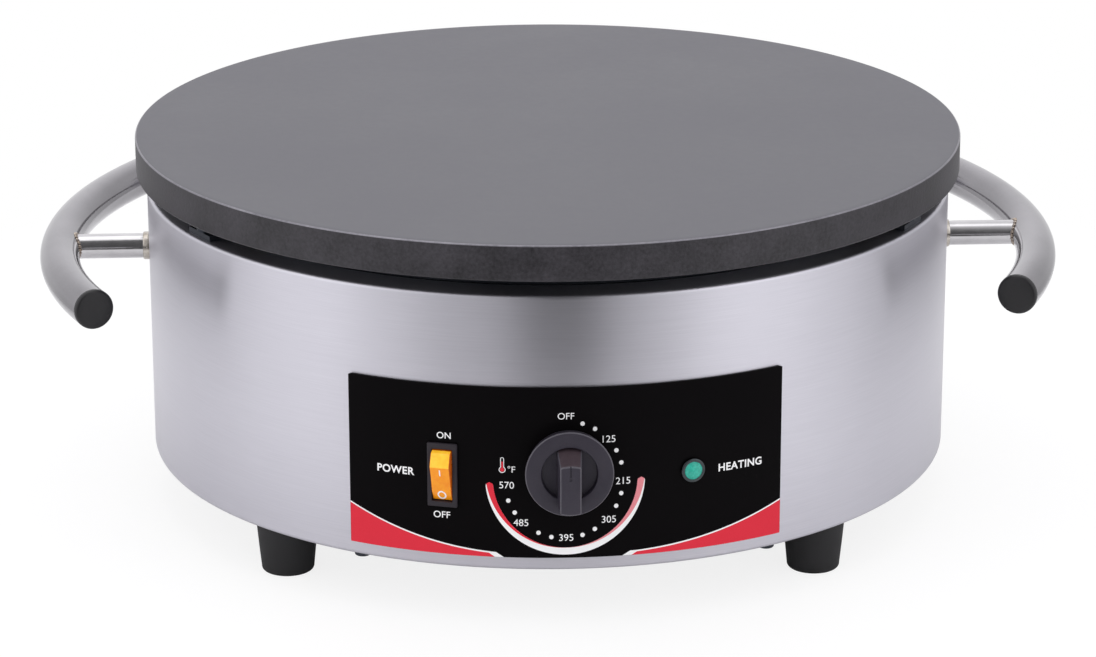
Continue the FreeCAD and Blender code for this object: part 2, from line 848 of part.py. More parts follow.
def rocker_outline(pivot):
    """The rocker's side view about its pivot, level, as (up, out) points and end arcs."""
    end_out = rocker_pivot_depth + rocker_end_height
    end_up = math.sqrt(rocker_end_radius ** 2 - end_out ** 2)
    base_out = rocker_pivot_depth - rocker_body_depth
    base_up = math.sqrt(rocker_end_radius ** 2 - base_out ** 2)
    ridge_out = rocker_pivot_depth + rocker_ridge_height

    def point(up, out):
        return vec(-rocker_width / 2, up, pivot + out)

    top_arc = Part.Arc(point(base_up, base_out), point(rocker_end_radius, 0.0), point(end_up, end_out))
    low_arc = Part.Arc(point(-end_up, end_out), point(-rocker_end_radius, 0.0), point(-base_up, base_out))
    crown = [
        point(end_up, end_out), point(rocker_ridge_offset, ridge_out), point(0.0, ridge_out - rocker_dip),
        point(-rocker_ridge_offset, ridge_out), point(-end_up, end_out),
    ]
    edges = [top_arc.toShape()]
    for start, end in zip(crown, crown[1:]):
        edges.append(Part.LineSegment(start, end).toShape())
    edges.append(low_arc.toShape())
    edges.append(Part.LineSegment(point(-base_up, base_out), point(base_up, base_out)).toShape())
    return Part.Wire(edges)


def rocker_pivot_height():
    return seat_gap + bezel_thickness - rocker_pivot_depth


def switch_rocker():
    pivot = rocker_pivot_height()
    rocker = Part.Face(rocker_outline(pivot)).extrude(vec(rocker_width, 0, 0))
    half = rocker_width / 2 + rocker_pin_length
    pin = Part.makeCylinder(rocker_pin_radius, 2 * half, vec(-half, 0.0, pivot), vec(1, 0, 0))
    rocker = rocker.fuse(pin).removeSplitter()
    rocker.rotate(vec(0, 0, pivot), vec(1, 0, 0), rocker_tilt)
    return outward(rocker, switch_bearing, panel_radius, switch_height)


def lamp_bezel():
    seat = seat_gap
    ring = tube(lamp_bezel_radius, lamp_lens_radius + seat_gap, seat, seat + lamp_bezel_thickness)
    face = seat + lamp_bezel_thickness
    ring = round_edges(ring, 0.5, lambda e: is_circle(e, lamp_bezel_radius) and on_level(e, face))
    body = tube(lamp_body_radius, lamp_lens_radius - 0.8, seat - lamp_body_length, seat)
    back = rod(lamp_body_radius, seat - lamp_body_length, seat - lamp_body_length + 2.0)
    bezel = ring.fuse(body).fuse(back)
    for x in (-2.2, 2.2):
        low = seat - lamp_body_length
        bezel = bezel.fuse(box(x - 0.4, x + 0.4, -1.4, 1.4, low - 7.0, low + 0.5))
    return outward(bezel.removeSplitter(), lamp_bearing, panel_radius, lamp_height)


def lamp_lens():
    seat = 2 * seat_gap
    rim = rod(lamp_lens_radius, seat, seat + lamp_bezel_thickness)
    sphere_radius = (lamp_lens_radius ** 2 + lamp_lens_rise ** 2) / (2 * lamp_lens_rise)
    centre = seat + lamp_bezel_thickness + lamp_lens_rise - sphere_radius
    dome = Part.makeSphere(sphere_radius, vec(0, 0, centre))
    above = rod(lamp_lens_radius, seat + lamp_bezel_thickness - 0.2, seat + lamp_bezel_thickness + 5.0)
    lens = rim.fuse(dome.common(above)).removeSplitter()
    return outward(lens, lamp_bearing, panel_radius, lamp_height)


def lamp_nut():
    """The nut seats its corners on the drum's inner wall."""
    corner = lamp_nut_across_flats / math.sqrt(3.0)
    seat = math.sqrt(shell_inner_radius ** 2 - corner ** 2) - seat_gap
    nut = hexagon(lamp_nut_across_flats, -lamp_nut_thickness, 0.0)
    nut = nut.cut(rod(lamp_body_radius + seat_gap, -lamp_nut_thickness - 1.0, 1.0))
    return outward(nut, lamp_bearing, seat, lamp_height)


def heating_element():
    """A flat spiral of half turns whose two ends bend down through the layers below it."""
    edges = []
    start_x = element_first_radius
    level = element_height
    bend = element_lead_bend
    low = level - bend - element_lead_length
    turn = bend * math.sqrt(0.5)
    edges.append(Part.LineSegment(vec(start_x, -bend, low), vec(start_x, -bend, level - bend)).toShape())
    edges.append(Part.Arc(
        vec(start_x, -bend, level - bend), vec(start_x, -turn, level - bend + turn), vec(start_x, 0.0, level),
    ).toShape())
    for index in range(element_half_turns):
        side = 1.0 if index % 2 == 0 else -1.0
        centre_x = 0.0 if index % 2 == 0 else element_turn_step
        radius = element_first_radius + index * element_turn_step
        begin = vec(centre_x + side * radius, 0.0, level)
        middle = vec(centre_x, side * radius, level)
        end = vec(centre_x - side * radius, 0.0, level)
        edges.append(Part.Arc(begin, middle, end).toShape())
    end_x = element_lead_places()[1]
    edges.append(Part.Arc(
        vec(end_x, 0.0, level), vec(end_x, -turn, level - bend + turn), vec(end_x, -bend, level - bend),
    ).toShape())
    edges.append(Part.LineSegment(vec(end_x, -bend, level - bend), vec(end_x, -bend, low)).toShape())
    return swept(Part.Wire(edges), element_tube_radius, vec(start_x, -bend, low), vec(0, 0, 1))


def element_clamp():
    plate = rod(insulation_radius, clamp_bottom, clamp_top)
    return open_stack_holes(plate, clamp_bottom - 1.0, clamp_top + 1.0)


def insulation_pad():
    pad = rod(insulation_radius, insulation_bottom, insulation_top)
    return open_stack_holes(pad, insulation_bottom - 1.0, insulation_top + 1.0)


def heat_shield():
    inner = shield_radius - shield_wall
    shield = revolved([
        (0.0, shield_floor_bottom), (shield_radius, shield_floor_bottom), (shield_radius, shield_top),
        (inner, shield_top), (inner, shield_floor_top), (0.0, shield_floor_top),
    ])
    shield = open_stack_holes(shield, shield_floor_bottom - 1.0, shield_floor_top + 1.0)
    window_low = shield_top - shield_window_height
    for first, last in shield_window_bearings:
        window = sector(shield_radius + 5.0, first, last, window_low, shield_top + 1.0)
        window = window.cut(rod(shield_radius - 5.0, window_low - 1.0, shield_top + 2.0))
        shield = shield.cut(window)
    for x, y in cutout_screw_places():
        hole = rod(m3_radius + hole_gap, shield_floor_bottom - 1.0, shield_floor_top + 1.0, x, y)
        shield = shield.cut(hole)
    return shield


def clamp_studs():
    top = plate_underside + clamp_stud_thread_in_plate - seat_gap
    return [rod(clamp_stud_radius, top - clamp_stud_length, top, x, y) for x, y in clamp_stud_places()]


def clamp_nuts():
    low = shield_floor_bottom - seat_gap - stud_washer_thickness - 1.6 * clamp_stud_radius
    return [hex_nut(clamp_stud_radius, low, x, y) for x, y in clamp_stud_places()]


def clamp_washers():
    low = shield_floor_bottom - seat_gap - stud_washer_thickness
    return [washer(clamp_stud_radius, low, stud_washer_thickness, x, y) for x, y in clamp_stud_places()]


def plate_support(bearing):
    """A Z-shaped bracket: foot on the drum's flange, riser, and a tab under the plate."""
    half = support_width / 2
    riser = support_riser_radius
    tab_in = support_screw_circle - support_tab_inset
    foot_out = shell_inner_radius - shell_bend_radius
    top = plate_underside - seat_gap
    level = shell_top + support_wall
    # Local X is the tangent, Y is up and Z points outward.
    bracket = box(-half, half, shell_top, level, riser, foot_out)
    bracket = bracket.fuse(box(-half, half, shell_top, top, riser, riser + support_wall))
    bracket = bracket.fuse(box(-half, half, top - support_wall, top, tab_in, riser + support_wall))
    bracket = outward(bracket.removeSplitter(), bearing, 0.0, 0.0)
    x, y = at_bearing(bearing, support_screw_circle)
    bracket = bracket.cut(rod(support_screw_radius + hole_gap, shell_top, plate_top, x, y))
    x, y = at_bearing(bearing, support_bolt_circle)
    return bracket.cut(rod(m5_radius + hole_gap, shell_top - 1.0, level + 1.0, x, y))


def plate_screws():
    """Screws that hold each bracket's tab to the plate."""
    screws = []
    seat = plate_underside - seat_gap - support_wall
    for bearing in support_bearings:
        x, y = at_bearing(bearing, support_screw_circle)
        screws.append(pan_screw(support_screw_radius, seat, support_screw_length, x, y, head_up=False))
    return screws


def support_bolts():
    screws = []
    seat = shell_top + support_wall
    for bearing in support_bearings:
        x, y = at_bearing(bearing, support_bolt_circle)
        screws.append(pan_screw(m5_radius, seat, support_screw_length, x, y))
    return screws


def support_nuts():
    nuts = []
    low = shell_top - shell_wall - 1.6 * m5_radius
    for bearing in support_bearings:
        x, y = at_bearing(bearing, support_bolt_circle)
        nuts.append(hex_nut(m5_radius, low, x, y))
    return nuts


def bulb_centre_height():
    return plate_underside - seat_gap - bulb_radius


def bulb_screw_places():
    half = bulb_clip_spacing / 2
    y = -bulb_distance + bulb_radius + bulb_clip_ear
    return [(-half, y), (half, y)]


def thermostat_bulb():
    """The sensing bulb with its capillary, one sealed piece."""
    level = bulb_centre_height()
    y = -bulb_distance
    bulb = Part.makeCylinder(bulb_radius, bulb_length, vec(-bulb_length / 2, y, level), vec(1, 0, 0))
    down_x = capillary_place()[0]
    back = bracket_back + seat_gap + thermostat_depth
    boss_z = knob_height + capillary_boss_rise
    behind = back + capillary_clearance
    points = [
        vec(bulb_length / 2 - 1.0, y, level),
        vec(down_x, y, level),
        vec(down_x, y, boss_z + capillary_drop_end),
        vec(down_x - capillary_boss_offset, behind, boss_z),
        vec(capillary_boss_offset, behind, boss_z),
        vec(capillary_boss_offset, back + seat_gap, boss_z),
    ]
    return bulb.fuse(soft_tube(points, capillary_radius, capillary_bend)).removeSplitter()


def bulb_clips():
    """Straps that hold the bulb against the plate."""
    clips = []
    top = plate_underside - seat_gap
    low = bulb_centre_height() - bulb_radius - bulb_clip_wall
    for x, y in bulb_screw_places():
        near = x - bulb_clip_width / 2
        far = x + bulb_clip_width / 2
        wrap = bulb_radius + bulb_clip_wall
        strap = box(near, far, -bulb_distance - wrap, -bulb_distance + wrap, low, top)
        ear = box(near, far, -bulb_distance, y + bulb_clip_width / 2, top - bulb_clip_wall, top)
        strap = strap.fuse(ear).removeSplitter()
        level = bulb_centre_height()
        start = vec(x - bulb_clip_width, -bulb_distance, level)
        bore = Part.makeCylinder(bulb_radius + seat_gap, 2 * bulb_clip_width, start, vec(1, 0, 0))
        strap = strap.cut(bore).cut(rod(m4_radius + hole_gap, low, top + 1.0, x, y))
        pieces = sorted(strap.Solids, key=lambda solid: solid.Volume)
        clips.append(pieces[-1])
    return clips


def bulb_screws():
    seat = plate_underside - seat_gap - bulb_clip_wall
    screws = []
    for x, y in bulb_screw_places():
        screws.append(pan_screw(m4_radius, seat, bulb_screw_length, x, y, head_up=False))
    return screws


def cutout_screw_places():
    half = cutout_screw_spacing / 2
    return [(cutout_x - half, cutout_y), (cutout_x + half, cutout_y)]


def safety_cutout():
    """A disc cut-out with ears and two blades, screwed under the shield's floor."""
    top = shield_floor_bottom - seat_gap
    body = rod(cutout_radius, top - cutout_height, top, cutout_x, cutout_y)
    half = cutout_screw_spacing / 2 + 4.0
    ear_top = top - cutout_ear_thickness
    ears = box(cutout_x - half, cutout_x + half, cutout_y - 4.0, cutout_y + 4.0, ear_top, top)
    body = body.fuse(ears)
    for offset in (-4.0, 4.0):
        y = cutout_y + offset
        reach = blade_width / 2
        low = top - cutout_height - blade_length
        body = body.fuse(box(cutout_x - reach, cutout_x + reach, y - 0.4, y + 0.4, low, top - 2.0))
    for x, y in cutout_screw_places():
        body = body.cut(rod(m3_radius + seat_gap, top - 2.0, top + 1.0, x, y))
    return body.removeSplitter()


def cutout_screws():
    ear = cutout_ear_thickness
    seat = shield_floor_bottom - seat_gap - ear
    length = ear + seat_gap + shield_wall
    return [pan_screw(m3_radius, seat, length, x, y, head_up=False) for x, y in cutout_screw_places()]


def gland_height():
    return shell_bottom + gland_above_base


def cable_gland():
    """A hexagonal gland with a domed cap outside the drum and a thread through its wall."""
    seat = seat_gap
    flange = hexagon(gland_flats, seat, seat + gland_flange_thickness)
    cap_top = seat + gland_flange_thickness + gland_cap_length
    cap = rod(gland_cap_radius, seat + gland_flange_thickness, cap_top)
    cap = round_edges(cap, 3.0, lambda e: on_level(e, cap_top))
    thread = rod(gland_thread_radius, -shell_wall - gland_thread_inside, seat + 1.0)
    gland = flange.fuse(cap).fuse(thread).removeSplitter()
    gland = gland.cut(rod(gland_bore_radius, -30.0, cap_top + 1.0))
    return outward(gland, gland_bearing, shell_radius, gland_height())


def gland_nut():
    across = gland_flats
    corner = across / math.sqrt(3.0)
    seat = math.sqrt(shell_inner_radius ** 2 - corner ** 2) - seat_gap
    nut = hexagon(across, -4.0, 0.0)
    nut = nut.cut(rod(gland_thread_radius + seat_gap, -5.0, 1.0))
    return outward(nut, gland_bearing, seat, gland_height())


def terminal_block():
    length, width, height = terminal_block_size
    x = terminal_block_x
    y = terminal_block_y
    top = shell_bottom + height
    block = box(x - length / 2, x + length / 2, y - width / 2, y + width / 2, shell_bottom, top)
    block = round_edges(block, 1.5, lambda e: on_level(e, top))
    for screw_x, screw_y in terminal_screw_places():
        block = block.cut(rod(m3_radius + hole_gap, shell_bottom - 1.0, top + 1.0, screw_x, screw_y))
    for offset in (-11.0, 0.0, 11.0):
        centre = vec(x + offset, y - width / 2 - 1.0, shell_bottom + height / 2)
        block = block.cut(Part.makeCylinder(2.2, width + 2.0, centre, vec(0, 1, 0)))
    return block


def terminal_screws():
    head = shell_bottom + terminal_block_size[2]
    length = terminal_block_size[2] + base_thickness + 1.0
    return [pan_screw(m3_radius, head, length, x, y) for x, y in terminal_screw_places()]


def earth_stud():
    """The protective earth stud through the base plate, with its two nuts as part of the stack."""
    stud = rod(m5_radius, base_bottom - 2.0, shell_bottom + 16.0, earth_stud_x, earth_stud_y)
    head = rod(4.5, base_bottom - 2.0, base_bottom, earth_stud_x, earth_stud_y)
    return stud.fuse(head).removeSplitter()


def earth_nuts():
    height = 1.6 * m5_radius
    first = hex_nut(m5_radius, shell_bottom, earth_stud_x, earth_stud_y)
    second = hex_nut(m5_radius, shell_bottom + height + 1.0, earth_stud_x, earth_stud_y)
    return [first, second]


def wiring_leads():
    """Insulated leads between the terminals, each end standing on what it feeds."""
    block_back = terminal_block_y + terminal_block_size[1] / 2
    block_front = terminal_block_y - terminal_block_size[1] / 2
    middle = shell_bottom + terminal_block_size[2] / 2
    switch_x, switch_y = at_bearing(switch_bearing, panel_radius - housing_depth - 6.0)
    lamp_x, lamp_y = at_bearing(lamp_bearing, panel_radius - lamp_body_length - 7.0)
    blade_y = bracket_back + seat_gap + thermostat_depth + blade_length
    low = element_height - element_lead_bend - element_lead_length
    inner_x, outer_x = element_lead_places()
    gap = seat_gap + lead_radius
    first = terminal_block_x - 11.0
    second = terminal_block_x
    routes = [
        [vec(first, block_front - seat_gap, middle), vec(first, block_front - 40.0, middle),
         vec(-30.0, -90.0, middle), vec(switch_x + 10.0, switch_y + 34.0, switch_height - 8.0),
         vec(switch_x + 3.2, switch_y + 7.0, switch_height - 8.0)],
        [vec(second, block_front - seat_gap, middle), vec(second, -60.0, middle + 6.0),
         vec(lamp_x - 4.0, lamp_y + 40.0, lamp_height), vec(lamp_x - 1.2, lamp_y + 1.5, lamp_height)],
        [vec(outer_x, -element_lead_bend, low - seat_gap), vec(outer_x, -element_lead_bend, low - 30.0),
         vec(-60.0, -80.0, knob_height + 8.0), vec(-14.0, blade_y + 26.0, knob_height - 7.6),
         vec(-14.0, blade_y + seat_gap, knob_height - 7.6)],
        [vec(inner_x, -element_lead_bend, low - seat_gap), vec(inner_x, -element_lead_bend, low - 34.0),
         vec(30.0, -80.0, knob_height + 20.0), vec(5.0, blade_y + 26.0, knob_height - 7.6),
         vec(5.0, blade_y + seat_gap, knob_height - 7.6)],
        [vec(terminal_block_x + 11.0, block_back + seat_gap, middle),
         vec(terminal_block_x + 11.0, block_back + 16.0, middle),
         vec(earth_stud_x + 30.0, block_back + 16.0, middle),
         vec(earth_stud_x + m5_radius + gap, earth_stud_y, middle + 3.0)],
    ]
    return [soft_tube(points, lead_radius, 5.0) for points in routes]


def save(name, pieces):
    shape = pieces if not isinstance(pieces, list) else Part.makeCompound(pieces)
    shape.exportStep(os.path.join("parts", name + ".step"))
    print(name, "solids", len(shape.Solids), "valid", shape.isValid())


def main():
    os.makedirs("parts", exist_ok=True)
    save("cooking_plate", cooking_plate())
    save("heating_element", heating_element())
    save("element_clamp", element_clamp())
    save("insulation_pad", insulation_pad())
    save("heat_shield", heat_shield())
    save("clamp_studs", clamp_studs())
    save("clamp_washers", clamp_washers())
    save("clamp_nuts", clamp_nuts())
    for index, bearing in enumerate(support_bearings):
        save("plate_support_%d" % (index + 1), plate_support(bearing))
    save("plate_screws", plate_screws())
    save("support_bolts", support_bolts())
    save("support_nuts", support_nuts())
    save("body_shell", body_shell())
    save("base_plate", base_plate())
    save("base_screws", base_screws())
    save("base_nuts", base_nuts())
    for index, (x, y) in enumerate(foot_places()):
        save("foot_%d" % (index + 1), rubber_foot(x, y))
    save("foot_screws", foot_screws())
    save("foot_washers", foot_washers())
    save("foot_nuts", foot_nuts())
    save("handle_rail", handle_rail())
    save("rail_cap_left", rail_cap(-1.0))
    save("rail_cap_right", rail_cap(1.0))
    for name, bearing in zip(("left", "right", "rear"), stub_bearings):
        save("handle_stub_" + name, handle_stub(bearing))
    save("stub_washers", stub_washers())
    save("stub_nuts", stub_nuts())
    save("panel_overlay", panel_overlay())
    save("control_bracket", control_bracket())
    save("control_bracket_screws", control_bracket_screws())
    save("control_bracket_nuts", control_bracket_nuts())
    save("thermostat_body", thermostat_body())
    save("thermostat_screws", thermostat_screws())
    save("thermostat_shaft", thermostat_shaft())
    save("thermostat_knob", thermostat_knob())
    save("thermostat_bulb", thermostat_bulb())
    save("bulb_clips", bulb_clips())
    save("bulb_screws", bulb_screws())
    save("safety_cutout", safety_cutout())
    save("cutout_screws", cutout_screws())
    save("switch_housing", switch_housing())
    save("switch_rocker", switch_rocker())
    save("lamp_bezel", lamp_bezel())
    save("lamp_lens", lamp_lens())
    save("lamp_nut", lamp_nut())
    save("cable_gland", cable_gland())
    save("gland_nut", gland_nut())
    save("terminal_block", terminal_block())
    save("terminal_screws", terminal_screws())
    save("earth_stud", earth_stud())
    save("earth_nuts", earth_nuts())
    save("wiring_leads", wiring_leads())


main()
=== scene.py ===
"""Dressed model of a countertop electric crepe maker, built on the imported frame.

Metres, +Z up, the control panel towards -Y. A bearing is an angle from -Y, positive towards +X.
"""
import logging
import math
from dataclasses import dataclass, field
from enum import Enum
from typing import Callable, Iterable, Optional, Sequence, Union

import bmesh
import bpy
from mathutils import Matrix, Vector


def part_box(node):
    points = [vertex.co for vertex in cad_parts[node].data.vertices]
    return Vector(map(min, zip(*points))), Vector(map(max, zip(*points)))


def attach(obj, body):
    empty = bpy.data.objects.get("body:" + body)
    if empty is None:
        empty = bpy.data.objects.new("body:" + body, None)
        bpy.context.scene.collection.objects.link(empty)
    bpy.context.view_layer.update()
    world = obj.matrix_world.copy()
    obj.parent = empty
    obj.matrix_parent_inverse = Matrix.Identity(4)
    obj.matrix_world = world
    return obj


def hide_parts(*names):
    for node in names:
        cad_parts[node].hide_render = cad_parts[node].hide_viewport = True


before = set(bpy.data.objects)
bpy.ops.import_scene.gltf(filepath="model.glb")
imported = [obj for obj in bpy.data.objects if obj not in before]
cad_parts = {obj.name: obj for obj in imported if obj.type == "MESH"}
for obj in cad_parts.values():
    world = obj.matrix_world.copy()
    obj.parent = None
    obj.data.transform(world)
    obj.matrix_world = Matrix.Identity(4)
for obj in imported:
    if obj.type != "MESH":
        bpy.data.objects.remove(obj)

LOG = logging.getLogger("crepe_maker")
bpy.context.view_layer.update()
MM = 0.001
SEAT = 0.05 * MM

Point = tuple[float, float]
Colour = tuple[float, float, float]
Shape = bmesh.types.BMesh
Loop = list[bmesh.types.BMVert]
Face = bpy.types.MeshPolygon
Piece = bpy.types.Object
Material = bpy.types.Material
Socket = bpy.types.NodeSocket


class Body(Enum):
    """The rigid bodies of the frame."""

    BASE = "base"
    KNOB = "thermostat_control"
    ROCKER = "power_rocker"


class Pattern(Enum):
    """How a fine pattern runs: the share of its scale along X and Y, and the stretch of the highlight."""

    EVEN = (1.0, 0.0)
    AROUND = (0.012, 0.75)


class Wiring:
    """Adds nodes to a tree, each with its settings and inputs in one call."""

    def __init__(self, tree: bpy.types.NodeTree) -> None:
        """Takes the tree to work on."""
        self.tree = tree

    def feed(self, node: bpy.types.Node, inputs: dict[Union[str, int], object]) -> None:
        """Sets inputs of a node, or links them to sockets.

        Args:
            node: The node.
            inputs: A value or a source socket for each input.
        """
        for key, value in inputs.items():
            if isinstance(value, Socket):
                self.tree.links.new(value, node.inputs[key])
            else:
                node.inputs[key].default_value = value

    def add(
        self, kind: str, inputs: Optional[dict[Union[str, int], object]] = None, **settings: object
    ) -> bpy.types.Node:
        """Adds a node.

        Args:
            kind: Its type.
            inputs: A value or a source socket for each input.
            settings: The node's own settings.

        Returns:
            The node.
        """
        node = self.tree.nodes.new(kind)
        for key, value in settings.items():
            setattr(node, key, value)
        self.feed(node, inputs or {})
        return node

    def compute(self, operation: str, *terms: Union[float, Socket]) -> Socket:
        """Adds a maths node for the terms, which are values or sockets, and gives its result."""
        return self.add("ShaderNodeMath", dict(enumerate(terms)), operation=operation).outputs[0]


@dataclass(frozen=True)
class Finish:
    """One surface finish, built from noise on Object coordinates.

    Attributes:
        name: Name of the material.
        colour: Main linear colour.
        second: Linear colour that the pattern drifts towards.
        roughness: Lowest and highest roughness of the pattern.
        grain: Size of the fine pattern, in millimetres.
        cloud: Size of the slow variation, in millimetres.
        bump: Height of the fine pattern, in millimetres.
        slot: Name of a material slot in the record; not used.
        metallic: Metal share of the shader.
        specular: Specular level.
        transmission: Share of light let through.
        subsurface: Share of light scattered under the surface.
        sheen: Weight of the sheen.
        glow: Strength of emission in the main colour: the lamp's glow on the green lens, painted light on the
            amber rocker.
        pattern: How the fine pattern runs.
    """

    name: str
    colour: Colour
    second: Colour
    roughness: Point
    grain: float
    cloud: float
    bump: float
    slot: str = ""
    metallic: float = 0.0
    specular: float = 0.5
    transmission: float = 0.0
    subsurface: float = 0.0
    sheen: float = 0.0
    glow: float = 0.0
    pattern: Pattern = Pattern.EVEN

    def build(self) -> Material:
        """Makes the node material.

        Returns:
            The material.
        """
        material = bpy.data.materials.new(self.name)
        material.use_nodes = True
        wires = Wiring(material.node_tree)
        around, stretch = self.pattern.value
        scale = 1.0 / (self.grain * MM)
        place = wires.add("ShaderNodeTexCoord").outputs["Object"]
        sizes = (scale * around, scale * around, scale)
        scaled = wires.add("ShaderNodeMapping", {"Scale": sizes, "Vector": place})
        fine = wires.add(
            "ShaderNodeTexNoise",
            {"Scale": 1.0, "Detail": 4.0, "Roughness": 0.6, "Vector": scaled.outputs["Vector"]},
        ).outputs["Fac"]
        broad = {"Scale": 1.0 / (self.cloud * MM), "Detail": 3.0, "Vector": place}
        slow = wires.add("ShaderNodeTexNoise", broad)
        blend = wires.compute("MULTIPLY_ADD", fine, 0.5, wires.compute("MULTIPLY", slow.outputs["Fac"], 0.5))
        ramp = wires.add("ShaderNodeValToRGB", {"Fac": blend})
        stops = zip(ramp.color_ramp.elements, (0.32, 0.68), (self.colour, self.second))
        for element, position, colour in stops:
            element.position = position
            element.color = (*colour, 1.0)
        low, high = self.roughness
        spread = {"Value": blend, "From Min": 0.3, "From Max": 0.7, "To Min": low, "To Max": high}
        inputs = {
            "Base Color": ramp.outputs["Color"],
            "Roughness": wires.add("ShaderNodeMapRange", spread).outputs["Result"],
            "Metallic": self.metallic,
            "Specular IOR Level": self.specular,
            "Transmission Weight": self.transmission,
            "Subsurface Weight": self.subsurface,
            "Subsurface Scale": 0.002,
            "Sheen Weight": self.sheen,
            "Anisotropic": stretch,
            "Anisotropic Rotation": 0.25 if stretch else 0.0,
        }
        if self.glow:
            inputs |= {"Emission Color": (*self.colour, 1.0), "Emission Strength": self.glow}
        if self.bump:
            height = {"Strength": 1.0, "Distance": self.bump * MM, "Height": fine}
            relief = wires.add("ShaderNodeBump", height)
            inputs["Normal"] = relief.outputs["Normal"]
        wires.feed(material.node_tree.nodes["Principled BSDF"], inputs)
        return material


